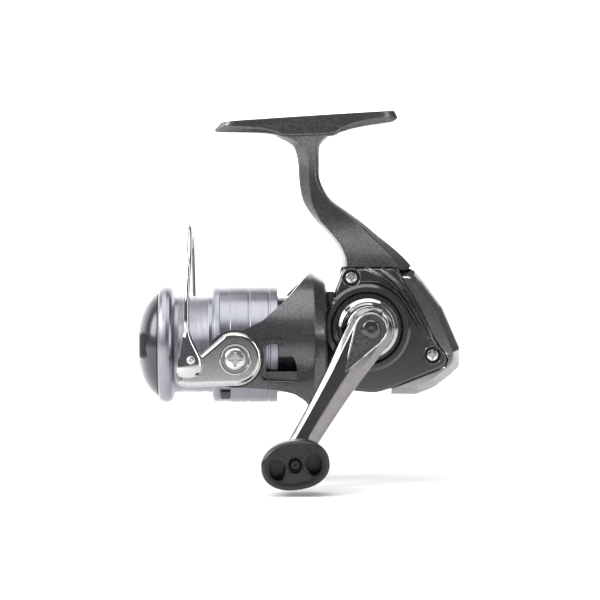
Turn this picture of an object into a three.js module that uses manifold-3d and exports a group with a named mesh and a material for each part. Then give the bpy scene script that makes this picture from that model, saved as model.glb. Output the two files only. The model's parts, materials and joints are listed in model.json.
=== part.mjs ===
// A spinning reel of the smallest common size: spool lip 40 mm, handle 50 mm, foot 64 mm.
// Millimetres. The exported group's origin is the middle of the foot's flat seat, +Z is up towards
// the rod, -X is the way the spool faces, and -Y is the side that the handle is on.
// Inside the group everything hangs on a "machine" frame: the spool axis is its X axis, and the
// crank axis runs along Y through x = 0, z = CRANK_Z.
import * as THREE from "three";
import { mergeVertices } from "three/addons/utils/BufferGeometryUtils.js";
import Module from "manifold-3d";

const wasm = await Module();
wasm.setup();

// ---- driving dimensions ----------------------------------------------------------------------
const SEAT_X = -19.8, SEAT_Z = 77.8; // the middle of the foot's seat, in the machine frame
const SEAT_TILT = 3.84 * Math.PI / 180; // the foot rises to the rear against the spool axis
const SEAT_WIDTH = 4.6, SEAT_DEPTH = 0.6; // the flat strip along the foot, and how deep it lies
const CRANK_Z = 5.8; // hypoid offset of the crank above the spool axis
const GAP = 0.3; // between pieces that touch

const SHAFT_R = 1.5, SHAFT_FRONT = -76, SHAFT_REAR = 19;
const LIP_R = 20, ARBOR_R = 16.6, SKIRT_BORE = 18.7;
const LIP_FRONT = -70.9, LIP_REAR = -65.3, SKIRT_FRONT = -52.4, SKIRT_REAR = -30.2;
const DRAG_BORE = 8.5; // the drag washers' well in the spool
const DOME_APEX = -78.4; // the drag knob's front

const CUP_R = 16.6, CUP_BORE = 15.2, CUP_FRONT = -44; // the rotor's cup, inside the spool's skirt
const ROTOR_REAR = -13.7, SHELL_R = 24.8, SHELL_BORE = 20.9; // the shell that carries the arms
const PIVOT_X = -44.8, PIVOT_Z = -4.2, PAD_R = 9.7, PAD_Y = 26; // the bail's pivot pads
const ROLLER_X = -59.5, ROLLER_Z = -4.5;
const WIRE_R = 0.9;

const COLLAR_R = 12.4, COLLAR_FRONT = -27; // the body's nose, which holds the clutch and bearing
const PINION_TEETH = 9;
const DRIVE_TEETH = 47, DRIVE_R = 10.8;
const MODULE_MM = 0.5, SMALL_TEETH = 22, OSC_TEETH = 32;
const OSC_X = 11.6, OSC_Z = -1.2, PIN_THROW = 5; // the oscillating gear and its eccentric pin
const SLIDER_X = 12.8; // the crosswind block at rest, 1.2 mm behind the middle of its stroke
const PIN_ANGLE = -Math.acos((SLIDER_X - OSC_X) / PIN_THROW);

const FAR_FACE = 13.5, SPLIT_Y = -4.8, COVER_FACE = -12.5, WALL = 1.7; // the gearbox across Y
const BOSS_R = 14.9, BOSS_FACE = -15.6;
const ARM_LENGTH = 50, ARM_DIRECTION = new THREE.Vector2(-25.8, -42.7).normalize();
const KNOB_X = ARM_DIRECTION.x * ARM_LENGTH, KNOB_Z = CRANK_Z + ARM_DIRECTION.y * ARM_LENGTH;
const KNOB_END = -63.5;

// ---- materials ------------------------------------------------------------------------------
const finish = (color, roughness, metalness) =>
  new THREE.MeshStandardMaterial({ color, roughness, metalness });
const graphite = finish(0x4a4b4e, 0.35, 0.6);
const gloss = finish(0x3b3c40, 0.15, 0.6);
const darkChrome = finish(0x85868a, 0.12, 1);
const chrome = finish(0xd9dadd, 0.06, 1);
const spoolAluminium = finish(0xc9cbd3, 0.28, 1);
const knobPlastic = finish(0x45464b, 0.3, 0.4);
const gripPlastic = finish(0x2e2f33, 0.6, 0);
const steel = finish(0xb9babd, 0.3, 1);
const brass = finish(0xb8974f, 0.35, 1);
const zinc = finish(0x9a9ca0, 0.45, 1);
const blackPlastic = finish(0x1c1c1e, 0.5, 0);
const felt = finish(0x6b6255, 0.95, 0);

// ---- shape helpers --------------------------------------------------------------------------
// A closed geometry as a solid, turned right side out.
function solid(geometry) {
  const bare = new THREE.BufferGeometry().setAttribute("position", geometry.getAttribute("position"));
  bare.setIndex(geometry.index);
  const merged = mergeVertices(bare, 1e-4);
  const triVerts = new Uint32Array(merged.index.array);
  const vertProperties = merged.attributes.position.array;
  const make = () => new wasm.Manifold(new wasm.Mesh({ numProp: 3, vertProperties, triVerts }));
  const made = make();
  if (made.volume() > 0) return made;
  for (let i = 0; i < triVerts.length; i += 3)
    [triVerts[i + 1], triVerts[i + 2]] = [triVerts[i + 2], triVerts[i + 1]];
  return make();
}

function geometryOf(shape) {
  const mesh = shape.getMesh();
  const positions = new Float32Array(mesh.numVert * 3);
  for (let i = 0; i < mesh.numVert; i++)
    positions.set(mesh.vertProperties.subarray(i * mesh.numProp, i * mesh.numProp + 3), i * 3);
  return new THREE.BufferGeometry()
    .setAttribute("position", new THREE.BufferAttribute(positions, 3))
    .setIndex(new THREE.BufferAttribute(mesh.triVerts, 1));
}

const joined = (...shapes) => shapes.reduce((a, b) => a.add(b));
const cut = (shape, ...tools) => tools.reduce((a, b) => a.subtract(b), shape);

// A profile of [along, radius] points turned about the X axis.
function turnedX(profile, segments = 32, y = 0, z = 0) {
  const points = [...profile, profile[0]].map(([along, r]) => new THREE.Vector2(r, along));
  return solid(new THREE.LatheGeometry(points, segments).rotateZ(-Math.PI / 2).translate(0, y, z));
}

// The same about a line along Y through (x, z).
function turnedY(profile, segments = 32, x = 0, z = CRANK_Z) {
  const points = [...profile, profile[0]].map(([along, r]) => new THREE.Vector2(r, along));
  return solid(new THREE.LatheGeometry(points, segments).translate(x, 0, z));
}

const tube = (from, to, outer, inner) => inner
  ? [[from, inner], [from, outer], [to, outer], [to, inner]]
  : [[from, 0], [from, outer], [to, outer], [to, 0]];
const rodX = (from, to, r, segments = 20, y = 0, z = 0) =>
  turnedX(tube(from, to, r), segments, y, z);
const rodY = (from, to, r, x = 0, z = CRANK_Z, segments = 20) =>
  turnedY(tube(from, to, r), segments, x, z);

// A shape drawn in the XZ plane and extruded along Y.
function prism(outline, from, to) {
  const shape = new THREE.Shape(outline.map(([x, z]) => new THREE.Vector2(x, z)));
  const geometry = new THREE.ExtrudeGeometry(shape, { depth: to - from, bevelEnabled: false });
  return solid(geometry.rotateX(Math.PI / 2).translate(0, to, 0));
}

// A shape drawn in the YZ plane and extruded along X, with an optional round bore.
function prismX(outline, from, to, bore = 0) {
  const shape = new THREE.Shape(outline.map(([y, z]) => new THREE.Vector2(y, z)));
  const geometry = new THREE.ExtrudeGeometry(shape, { depth: to - from, bevelEnabled: false });
  const made = solid(geometry.rotateX(Math.PI / 2).rotateZ(Math.PI / 2).translate(from, 0, 0));
  return bore ? made.subtract(rodX(from - 1, to + 1, bore)) : made;
}

// A skin through rings of [x, y, z] points, all with the same count, closed by flat caps.
function loft(rings) {
  const count = rings[0].length;
  const index = [];
  for (let base = 0; base + count < rings.length * count; base += count)
    for (let i = 0; i < count; i++) {
      const a = base + i, b = base + ((i + 1) % count);
      index.push(a, b, a + count, b, b + count, a + count);
    }
  const cap = (ring, base, forward) => {
    // the cap is cut into triangles in whichever plane shows the ring largest
    const [flat] = [[0, 1], [1, 2], [2, 0]]
      .map(([u, v]) => ring.map((p) => new THREE.Vector2(p[u], p[v])))
      .sort((p, q) => Math.abs(THREE.ShapeUtils.area(q)) - Math.abs(THREE.ShapeUtils.area(p)));
    const sense = THREE.ShapeUtils.area(flat) * forward;
    for (const [a, b, c] of THREE.ShapeUtils.triangulateShape(flat, [])) {
      const same = THREE.ShapeUtils.area([flat[a], flat[b], flat[c]]) * sense > 0;
      index.push(base + a, base + (same ? b : c), base + (same ? c : b));
    }
  };
  cap(rings[0], 0, -1);
  cap(rings.at(-1), (rings.length - 1) * count, 1);
  const geometry = new THREE.BufferGeometry();
  const positions = new Float32Array(rings.flat(2));
  geometry.setAttribute("position", new THREE.BufferAttribute(positions, 3));
  return solid(geometry.setIndex(index));
}

// A round bar along a smooth path through the given points.
function bar(points, radius, steps, sides = 8) {
  const extrudePath = new THREE.CatmullRomCurve3(points.map((p) => new THREE.Vector3(...p)));
  const section = new THREE.Shape().absarc(0, 0, radius, 0, 2 * Math.PI);
  const options = { steps, extrudePath, curveSegments: sides / 2, bevelEnabled: false };
  return solid(new THREE.ExtrudeGeometry(section, options));
}

const box = (x0, x1, y0, y1, z0, z1) => solid(new THREE.BoxGeometry(x1 - x0, y1 - y0, z1 - z0)
  .translate((x0 + x1) / 2, (y0 + y1) / 2, (z0 + z1) / 2));

// An anticlockwise outline moved inwards by a distance, with mitred corners.
function inset(outline, distance) {
  return outline.map((point, i) => {
    const before = outline.at(i - 1), after = outline[(i + 1) % outline.length];
    const unit = (a, b) => {
      const length = Math.hypot(b[0] - a[0], b[1] - a[1]);
      return [(b[0] - a[0]) / length, (b[1] - a[1]) / length];
    };
    const [dx, dz] = unit(before, point), [ex, ez] = unit(point, after);
    const reach = distance / (1 + dx * ex + dz * ez);
    return [point[0] - (dz + ez) * reach, point[1] + (dx + ex) * reach];
  });
}

// Points on an arc in the XZ plane, from one angle to another in degrees, ends included.
function arc(x, z, r, from, to, steps) {
  return Array.from({ length: steps + 1 }, (_, i) => {
    const angle = (from + (to - from) * i / steps) * Math.PI / 180;
    return [x + r * Math.cos(angle), z + r * Math.sin(angle)];
  });
}

// A spur gear blank with trapezoid teeth in the XZ plane.
function gearOutline(x, z, teeth, root, tip, tipShare = 0.3, rootShare = 0.42, turn = 0) {
  const pitch = 2 * Math.PI / teeth;
  return Array.from({ length: teeth }, (_, i) => {
    const middle = turn + i * pitch;
    return [[root, -rootShare], [tip, -tipShare / 2], [tip, tipShare / 2], [root, rootShare]]
      .map(([r, share]) => {
        const angle = middle + share * pitch * 0.72;
        return [x + r * Math.cos(angle), z + r * Math.sin(angle)];
      });
  }).flat();
}

// ---- the gearbox and everything fixed to it ---------------------------------------------------
const machine = new THREE.Group();
machine.name = "machine";
machine.position.set(-SEAT_X, 0, -SEAT_Z);
function add(name, shape, material) {
  const mesh = new THREE.Mesh(geometryOf(shape), material.clone());
  mesh.name = name;
  machine.add(mesh);
}

// Side views, anticlockwise: the gearbox itself, and the gearbox with its rear cover.
const CASE = [
  [-10.9, -14.6], [-3, -15.9], [3.5, -16.4], [9.1, -14.6], [26.9, -7.6], [28, -3.8],
  [24.6, -0.3], [19.1, 11.7], [10.2, 26.3], [-8, 26.3], [-9.6, 21.4], [-10.9, 18.2],
];
const OUTER = [
  [3, -17], [17.4, -17.2], [23.6, -14.8], [29.8, -10], [32.4, -7.4], [32.5, -1],
  [26.4, 13.1], [19.8, 22], [16.4, 26], [2, 26],
];
const CASE_HOLLOW = inset(CASE, WALL);

// The stem's cross-sections: [z, front x, rear x, near half-width, far half-width].
const STEM = [
  [26.6, -8.1, 15.9, 12.1, 13.2],
  [29.7, -8.1, 13.3, 11.2, 12],
  [33.8, -9.5, 8.8, 9.7, 10.1],
  [38, -12.6, 3.6, 8, 8.1],
  [42.1, -16.4, -1.2, 6.6, 6.6],
  [46.2, -19.5, -6.7, 5.6, 5.6],
  [50.4, -21.6, -12.2, 4.9, 4.9],
  [56.6, -22.6, -15.4, 4.5, 4.5],
  [62, -22.9, -15.7, 4.5, 4.5],
  [66.9, -24, -15.7, 4.6, 4.6],
  [69, -25.7, -15, 4.8, 4.8],
  [71.1, -29.8, -12.9, 5.2, 5.2],
  [73.4, -34, -9.5, 5.6, 5.6],
];
const stem = loft(STEM.map(([z, front, rear, near, far]) => {
  const nose = 0.42, bevel = Math.min(3, (rear - front) * 0.3);
  return [
    [front, -near * nose, z], [front + bevel, -near, z], [rear - bevel * 0.7, -near, z],
    [rear, -near * 0.62, z], [rear, far * 0.62, z], [rear - bevel * 0.7, far, z],
    [front + bevel, far, z], [front, far * nose, z],
  ];
}));

// The foot, in sections along X: [x, underside z, half-width].
const FOOT = [
  [-51.7, 73.7, 2.6], [-51, 72.9, 4.4], [-48.5, 72.7, 6], [-44, 72.6, 6.7], [-36, 72.4, 7],
  [-31, 71.8, 7.1], [-27, 70.8, 7.2], [-12.6, 71.3, 7.2], [-8.5, 72.7, 7], [-4.3, 74, 6.9],
  [1, 75.1, 6.5], [6, 75.9, 5.8], [9.6, 76.6, 4.4], [11.4, 77.9, 2.6],
];
const footTop = (x) => SEAT_Z + SEAT_DEPTH + (x - SEAT_X) * Math.tan(SEAT_TILT);
const foot = loft(FOOT.map(([x, under, half]) => {
  const top = footTop(x), seat = top - SEAT_DEPTH, strip = SEAT_WIDTH / 2;
  const side = under + (top - under) * 0.6;
  return [
    [x, -half, side], [x, -half * 0.8, under], [x, half * 0.8, under], [x, half, side],
    [x, half * 0.97, top], [x, strip, seat], [x, -strip, seat], [x, -half * 0.97, top],
  ];
}));

// A screw boss or bearing seat stands inside the far half of the case.
const screwSpots = [[-5.2, 22.9, "top"], [22.5, -3.5, "rear"], [-6.8, -11.6, "bottom"]];
const farCase = cut(
  prism([...CASE.slice(0, 9), [10.2, 27.4], [-8, 27.4], ...CASE.slice(10)], SPLIT_Y, FAR_FACE)
    .add(box(-12, -9, SPLIT_Y, FAR_FACE, -14.6, 18.2)),
  prism(CASE_HOLLOW, SPLIT_Y - 1, FAR_FACE - WALL),
  box(-11.4, -5, SPLIT_Y - 1, FAR_FACE - WALL, -12.8, 17),
);
const bulkhead = box(-13.1, -11.4, -12.1, FAR_FACE, -14.6, 18.2);
const collar = turnedX([[-13, COLLAR_R], [COLLAR_FRONT, COLLAR_R], [COLLAR_FRONT, 10.9],
  [-18.2, 10.9], [-18.2, 6.2], [-14, 6.2], [-14, 3.9], [-11.4, 3.9], [-11.4, COLLAR_R]], 28);
const farBearingSeat = turnedY([[8.9, 4.9], [8.9, 6.4], [FAR_FACE + 1.6, 8], [FAR_FACE + 1.6, 3.6],
  [12.2, 3.6], [12.2, 4.9]], 24);
let frame = joined(
  stem.subtract(prism(inset(CASE, -0.3), -20, SPLIT_Y)).subtract(prism(CASE_HOLLOW, SPLIT_Y - 1, 9)),
  foot, farCase, bulkhead, collar.subtract(rodX(-12, -9, 0.1)),
);
frame = cut(
  frame,
  rodX(-40, -9, 6.2, 28).intersect(box(-18, -14, -7, 7, -7, 7)),
  rodX(-30, -9, 3.9, 24),
  rodX(-27.5, -18.2, 10.9, 28),
  rodY(8, FAR_FACE + 3, 5.5),
);
frame = frame.add(farBearingSeat);
for (const [x, z] of screwSpots) frame = frame.add(rodY(SPLIT_Y + 0.2, FAR_FACE - 1, 2, x, z, 12));
// The rear bush carries the main shaft's tail.
const rearBush = box(21, 25.4, SPLIT_Y, FAR_FACE - 1, -3.2, 2.6);
frame = frame.add(rearBush.intersect(prism(inset(CASE, 0.8), SPLIT_Y, FAR_FACE)));
frame = cut(frame, rodX(16, 26, SHAFT_R + 0.2),
  ...screwSpots.map(([x, z]) => rodY(-9, 4, 0.95, x, z, 12)));
add("body_frame", frame, graphite);

// The near half of the case, with the raised ring round the crank.
const bossRing = [[-12, BOSS_R], [-14.6, BOSS_R], [BOSS_FACE, BOSS_R - 1], [BOSS_FACE, 12.4],
  [-14.2, 11.6], [-14.2, 4.1], [-12, 4.1]];
let sideCover = prism(CASE, COVER_FACE, SPLIT_Y - GAP);
sideCover = cut(sideCover, prism(CASE_HOLLOW, COVER_FACE + WALL, 0));
sideCover = sideCover.add(turnedY(bossRing, 32).intersect(prism(inset(CASE, 0.1), -20, 0)));
sideCover = cut(sideCover, rodY(-20, -5, 4.1), rodY(-12, -5, 5.3));
sideCover = joined(sideCover, turnedY([[-12.2, 5.3], [-12.2, 7], [-9.2, 7], [-9.2, 5.3]], 20),
  rodY(-11, -6.6, 0.9, OSC_X, OSC_Z, 16), rodY(-11, -9.9, 2, OSC_X, OSC_Z, 16));
for (const [x, z] of screwSpots) {
  sideCover = sideCover.add(rodY(COVER_FACE, -9.6, 3.4, x, z, 20)
    .add(rodY(-10, SPLIT_Y - GAP, 2.1, x, z, 12)).intersect(prism(CASE, -20, 0)));
  sideCover = cut(sideCover, rodY(-20, -10.9, 2.9, x, z, 20), rodY(-20, 0, 1.25, x, z, 12));
}
add("side_cover", sideCover, gloss);

// The rear cover: a shell round the back and underside of the case.
const rearSpot = [21.5, -12];
let rearCover = cut(
  prism(OUTER, -11.8, 12.8),
  prism(inset(OUTER, 1.4), -10.3, 11.3),
  prism(inset(CASE, -GAP), -20, 20),
  prism([[-20, -30], [8.6, -30], [8.6, 0], [-20, 0]], -20, 20),
  prism([[-20, 0], [10, 0], [10.4, 40], [-20, 40]], -20, 20),
  box(0, 40, -20, 20, 26, 40),
);
rearCover = cut(
  rearCover.add(rodY(-11, 12.5, 1.9, ...rearSpot, 16).intersect(prism(OUTER, -30, 30))
    .subtract(prism(inset(CASE, -GAP), -20, 20))),
  rodY(10.6, 30, 1.9, ...rearSpot, 16), rodY(2, 20, 0.9, ...rearSpot, 12),
);
rearCover = cut(rearCover, stem.subtract(box(-50, 50, -50, 50, 0, 26.6)));
add("rear_cover", rearCover, darkChrome);

// A pan-head screw along Y with a cross slot; `side` is -1 for one driven from the near side.
function screw(name, x, z, seat, tip, head, shank, side = -1) {
  const top = seat + side * head * 0.45;
  const body = turnedY([[tip, 0], [tip, shank], [seat, shank], [seat, head],
    [seat + side * head * 0.2, head], [top, head * 0.6], [top, 0]], 12, x, z);
  const slot = head * 0.17, reach = head * 0.55;
  const y0 = Math.min(top, top - side * head * 0.3) - (side < 0 ? 1 : 0);
  const y1 = Math.max(top, top - side * head * 0.3) + (side > 0 ? 1 : 0);
  add(name, cut(body, box(x - slot, x + slot, y0, y1, z - reach, z + reach),
    box(x - reach, x + reach, y0, y1, z - slot, z + slot)), steel);
}
for (const [x, z, where] of screwSpots) screw("cover_screw_" + where, x, z, -11.15, 3.4, 2.3, 0.75);
screw("rear_cover_screw", ...rearSpot, 10.85, 2.4, 1.7, 0.8, 1);

// A ball bearing drawn as one closed ring with its shields' grooves.
function bearing(name, along, centre, width, bore, outer, axis) {
  const a = along - width / 2, b = along + width / 2, land = (outer - bore) * 0.28;
  const profile = [[a, bore], [a, bore + land], [a + 0.3, outer - land], [a, outer], [b, outer],
    [b - 0.3, outer - land], [b, bore + land], [b, bore]];
  add(name, axis === "x" ? turnedX(profile, 20) : turnedY(profile, 20, 0, centre), steel);
}
bearing("crank_bearing_near", -10.6, CRANK_Z, 2.6, 2.75, 5.1, "y");
bearing("crank_bearing_far", 10.6, CRANK_Z, 2.6, 2.75, 4.75, "y");
bearing("pinion_bearing", -16, 0, 3, 3.25, 6, "x");

// The one-way clutch on the collar's nose: its housing, its caged rollers and the retaining plate.
const clutchHousing = cut(turnedX(tube(-25.8, -18.6, 10.6, 6.5), 24),
  ...Array.from({ length: 8 }, (_, i) => rodX(-25, -19.4, 1.15, 8,
    6.4 * Math.cos(i * Math.PI / 4), 6.4 * Math.sin(i * Math.PI / 4))));
add("clutch_housing", clutchHousing, zinc);
const clutchRollers = joined(turnedX(tube(-24.6, -23.8, 6.25, 4.9), 16),
  turnedX(tube(-20.6, -19.8, 6.25, 4.9), 16),
  ...Array.from({ length: 8 }, (_, i) => rodX(-24.6, -19.8, 0.68, 6,
    5.6 * Math.cos(i * Math.PI / 4), 5.6 * Math.sin(i * Math.PI / 4))));
add("clutch_rollers", clutchRollers, steel);
const clutchPlate = cut(turnedX(tube(-28.3, -27.2, COLLAR_R, 5.6), 28),
  ...[0, 1, 2].map((i) => rodX(-29, -27, 0.8, 6, 11.6 * Math.cos(i * 2.0944), 11.6 * Math.sin(i * 2.0944))));
add("clutch_retainer", clutchPlate, steel);

// ---- the crank: shaft, gears, handle -----------------------------------------------------------
const HANDLE_FACE = -29; // the arm's inner face at the hub
add("handle_shaft", cut(
  turnedY([[FAR_FACE + 1.2, 0], [FAR_FACE + 1.2, 2.4], [-8.9, 2.45], [-16, 2.45], [-16, 3.3],
    [-28.6, 3.3], [-28.6, 0]], 24),
  rodY(5, 30, 1.3),
  rodY(-30, -22, 1.5),
), steel);
// A crown gear: its teeth stand on the near face of the rim and mesh with the pinion under it.
const crownTeeth = joined(...Array.from({ length: DRIVE_TEETH }, (_, i) => {
  const angle = i * 2 * Math.PI / DRIVE_TEETH + Math.PI * 1.152;
  const tooth = loft([8.6, DRIVE_R].map((r) => [
    [r, 4.6, -0.036 * r], [r, 3.5, -0.018 * r], [r, 3.5, 0.018 * r], [r, 4.6, 0.036 * r],
  ]));
  return tooth.rotate([0, -angle * 180 / Math.PI, 0]).translate([0, 0, CRANK_Z]);
}));
add("drive_gear", joined(
  turnedY([[4.5, 2.75], [4.5, 7.6], [4.5, DRIVE_R], [6.6, DRIVE_R], [6.6, 9], [5.9, 8],
    [5.9, 4.4], [8.7, 4.2], [8.7, 2.75]], 32),
  crownTeeth,
), zinc);
add("oscillation_drive_gear", cut(prism(gearOutline(0, CRANK_Z, SMALL_TEETH,
  SMALL_TEETH * MODULE_MM / 2 - 0.5, SMALL_TEETH * MODULE_MM / 2 + 0.35), -8.4, -6.2),
rodY(-10, 0, 2.75)), brass);

// The arm runs down its own line from the hub and steps outwards, clear of the rotor and bail.
const armSide = new THREE.Vector2(-ARM_DIRECTION.y, ARM_DIRECTION.x);
const ARM = [ // distance along the arm, towards the rear edge, towards the front edge, inner y, outer y
  [-5.4, 4.6, 4.6, -29.2, -33.4], [0, 7.6, 7.4, HANDLE_FACE, -34.6], [8, 7.1, 6.9, -29.4, -35.6],
  [18, 5.9, 5.7, -30.3, -36.2], [30, 5.1, 4.9, -31.7, -36.6], [42, 4.6, 4.5, -33, -37.1],
  [50, 4.5, 4.4, -33.5, -37.3], [53.6, 2.4, 2.4, -33.6, -37.2],
];
const armPoint = (along, across, y) => [
  ARM_DIRECTION.x * along + armSide.x * across, y,
  CRANK_Z + ARM_DIRECTION.y * along + armSide.y * across,
];
const arm = loft(ARM.map(([along, rear, front, inner, outer]) => [
  armPoint(along, rear * 0.8, inner), armPoint(along, rear, inner - 1.6),
  armPoint(along, rear, outer + 1.8), armPoint(along, rear * 0.72, outer),
  armPoint(along, -front * 0.72, outer), armPoint(along, -front, outer + 1.8),
  armPoint(along, -front, inner - 1.6), armPoint(along, -front * 0.8, inner),
]));
add("handle_arm", cut(arm, rodY(-40, -20, 2.9),
  turnedY([[-40, 5], [-36, 5], [-34.2, 3.6], [-34.2, 0], [-40, 0]], 24),
  rodY(-40, -30, 1.35, KNOB_X, KNOB_Z, 16)), darkChrome);
add("handle_hub", cut(turnedY([[-16.4, 6.6], [-17.6, 9.9], [-20.2, 10.3], [-21.4, 8.8], [-25, 8.2],
  [-28.6, 7.6], [-28.6, 3.6], [-16.4, 3.6]], 28)), chrome);
add("handle_bolt", turnedY([[-23, 0], [-23, 1.2], [-34.4, 1.2], [-34.4, 3.3], [-35.4, 3.3],
  [-35.9, 2.2], [-35.9, 0]], 20), gloss);
add("handle_screw_cap", cut(turnedY([[FAR_FACE + 2, 1], [FAR_FACE + 2, 6.8], [FAR_FACE + 3.4, 6.8],
  [FAR_FACE + 4.4, 5.6], [FAR_FACE + 4.4, 0], [6, 0], [6, 1]], 32),
box(-4.8, 4.8, FAR_FACE + 3.6, 40, CRANK_Z - 0.6, CRANK_Z + 0.6)), gloss);
add("knob_spindle", cut(turnedY([[-32.2, 0], [-32.2, 1.15], [-37.6, 1.15], [-37.6, 2.4],
  [-38.6, 2.4], [-38.6, 1.6], [-58.4, 1.6], [-58.4, 0]], 20, KNOB_X, KNOB_Z),
rodY(-60, -50, 0.75, KNOB_X, KNOB_Z, 12)), steel);
add("knob_screw", turnedY([[-51, 0], [-51, 0.6], [-58.7, 0.6], [-58.7, 2.1], [-59.5, 1.9],
  [-59.9, 1.2], [-59.9, 0]], 16, KNOB_X, KNOB_Z), steel);

// ---- the knob ----------------------------------------------------------------------------------
const KNOB_TILT = 8 * Math.PI / 180;
const oval = (y, long, short, sides = 24) => Array.from({ length: sides }, (_, i) => {
  const angle = i * 2 * Math.PI / sides;
  const u = long * Math.cos(angle), v = short * Math.sin(angle);
  return [KNOB_X + u * Math.cos(KNOB_TILT) - v * Math.sin(KNOB_TILT), y,
    KNOB_Z + u * Math.sin(KNOB_TILT) + v * Math.cos(KNOB_TILT)];
});
const knobPocket = (side) => {
  const outline = [[3.6, 0], [6.2, -4.6], [8.6, -3.6], [9.4, 0], [8.6, 3.6], [6.2, 4.6]];
  const turned = outline.map(([u, v]) => [
    KNOB_X + side * u * Math.cos(KNOB_TILT) - v * Math.sin(KNOB_TILT),
    KNOB_Z + side * u * Math.sin(KNOB_TILT) + v * Math.cos(KNOB_TILT),
  ]);
  return prism(side > 0 ? turned : turned.reverse(), KNOB_END - 1, -50);
};
const KNOB = [[-39, 3.6, 3.6], [-40, 4.2, 4.2], [-43, 4.5, 4.4], [-45.2, 7.6, 6], [-47.5, 10, 7.3],
  [-52, 10.9, 7.8], [-60, 11, 8], [-62.6, 10.9, 7.9], [KNOB_END, 10.2, 7.2]];
add("handle_knob", cut(loft(KNOB.map((row) => oval(...row))), knobPocket(1), knobPocket(-1),
  rodY(-70, -38, 1.8, KNOB_X, KNOB_Z, 16), rodY(-70, -58.4, 2.6, KNOB_X, KNOB_Z, 16)), gripPlastic);

// ---- the oscillation gear and slider ------------------------------------------------------------
const pinX = OSC_X + PIN_THROW * Math.cos(PIN_ANGLE), pinZ = OSC_Z + PIN_THROW * Math.sin(PIN_ANGLE);
const oscTurn = Math.atan2(CRANK_Z - OSC_Z, -OSC_X) + Math.PI / OSC_TEETH;
add("oscillating_gear", joined(
  prism(gearOutline(OSC_X, OSC_Z, OSC_TEETH, OSC_TEETH * MODULE_MM / 2 - 0.6,
    OSC_TEETH * MODULE_MM / 2 + 0.2, 0.3, 0.42, oscTurn), -8.2, -6.4),
  rodY(-9.6, -8, 2.2, OSC_X, OSC_Z),
  rodY(-6.6, -4.8, 0.9, pinX, pinZ, 12),
).subtract(rodY(-12, -4, 1.15, OSC_X, OSC_Z, 16)), zinc);

// ---- the rotor -----------------------------------------------------------------------------------
// The rotor in side view: the full ring at the rear, and what is left of the shell ahead of it.
const ROTOR_SIDE = [
  [-13, -27], [-18.6, -27], [-19.6, -20.4], [-21.7, -18.4], [-24.8, -16.4], [-30.8, -14.9],
  ...arc(PIVOT_X, PIVOT_Z, PAD_R, -90, -285, 12), [-35.4, 8.6], [-28.1, 15], [-18.1, 26], [-13, 27],
].reverse();
const shell = cut(
  turnedX([[ROTOR_REAR, CUP_BORE], [ROTOR_REAR, 21.4], [-14.6, 22.6], [-18.1, SHELL_R],
    [-31, SHELL_R + 0.5], [-60, SHELL_R + 0.5], [-60, SHELL_BORE], [-16.6, SHELL_BORE],
    [-16.6, CUP_BORE]], 40),
  box(-70, -16.6, -30, 30, -40, -26), box(-70, -16.6, -30, 30, 26, 40),
);
const bothSides = (build) => [-1, 1].map(build);
const armOutline = inset(ROTOR_SIDE, 0);
let rotor = shell.intersect(prism(armOutline, -30, 30));
for (const pad of bothSides((side) => side < 0
  ? rodY(-PAD_Y, -21.6, PAD_R, PIVOT_X, PIVOT_Z, 24) : rodY(21.6, PAD_Y, PAD_R, PIVOT_X, PIVOT_Z, 24)))
  rotor = rotor.add(pad);
const WINDOW = [
  [-34.4, -12.1], [-23.6, -12.6], [-24.2, -6.2], [-26, -2], [-28.2, 0], [-31.2, 0.7], [-34.4, 0.7],
];
const window_ = bothSides((side) => side < 0 ? prism(WINDOW, -30, -19) : prism(WINDOW, 19, 30));
const springWell = bothSides((side) => side < 0
  ? rodY(-30, -23.4, 5.6, PIVOT_X, PIVOT_Z, 24) : rodY(25.2, 30, 4, PIVOT_X, PIVOT_Z, 24));
const pivotPost = bothSides((side) => side < 0
  ? rodY(-27.5, -23, 2.2, PIVOT_X, PIVOT_Z, 20) : rodY(25, 27.5, 2.2, PIVOT_X, PIVOT_Z, 20));
const pivotBore = rodY(-30, -22.6, 0.9, PIVOT_X, PIVOT_Z, 12)
  .add(rodY(22.6, 30, 0.9, PIVOT_X, PIVOT_Z, 12));
rotor = joined(cut(rotor, ...window_, ...springWell), ...pivotPost).subtract(pivotBore);
rotor = rotor.add(turnedX([[ROTOR_REAR, CUP_BORE], [ROTOR_REAR, CUP_R + 0.4], [-16.6, CUP_R],
  [CUP_FRONT, CUP_R], [CUP_FRONT, CUP_R - 1.6], [-41.4, CUP_R - 2.2], [-41.4, 3.3], [-28.6, 3.3],
  [-28.6, 5], [-38.8, 6], [-39, CUP_BORE]], 40));
add("rotor", rotor, graphite);
add("pinion_gear", joined(
  turnedX([[-45.4, 1.75], [-45.4, 3], [-13.6, 3], [-12.4, 2.5], [-5.4, 2.5], [-5.4, 1.75]], 18),
  ...Array.from({ length: PINION_TEETH }, (_, i) => loft([-12.4, -8.9, -5.4].map((x) => {
    const middle = (i / PINION_TEETH + (x + 12.4) * 0.03) * 2 * Math.PI;
    return [[2.3, -0.28], [3.25, -0.1], [3.25, 0.1], [2.3, 0.28]].map(([r, spread]) =>
      [x, r * Math.cos(middle + spread), r * Math.sin(middle + spread)]);
  }))),
), brass);
add("clutch_sleeve", turnedX(tube(-28.2, -18, 4.7, 3.25), 20), steel);
const hexNut = (x0, x1, across, bore) => cut(
  solid(new THREE.CylinderGeometry(across / Math.sqrt(3), across / Math.sqrt(3), x1 - x0, 6)
    .rotateZ(Math.PI / 2).translate((x0 + x1) / 2, 0, 0)),
  rodX(x0 - 1, x1 + 1, bore),
);
add("rotor_nut", hexNut(-44, -41.8, 9, 3.3), steel);
add("rotor_nut_lock", cut(turnedX(tube(-44.9, -44.2, 6.4, 3.3), 20),
  rodX(-46, -44, 0.75, 6, 5, 0)), steel);
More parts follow.
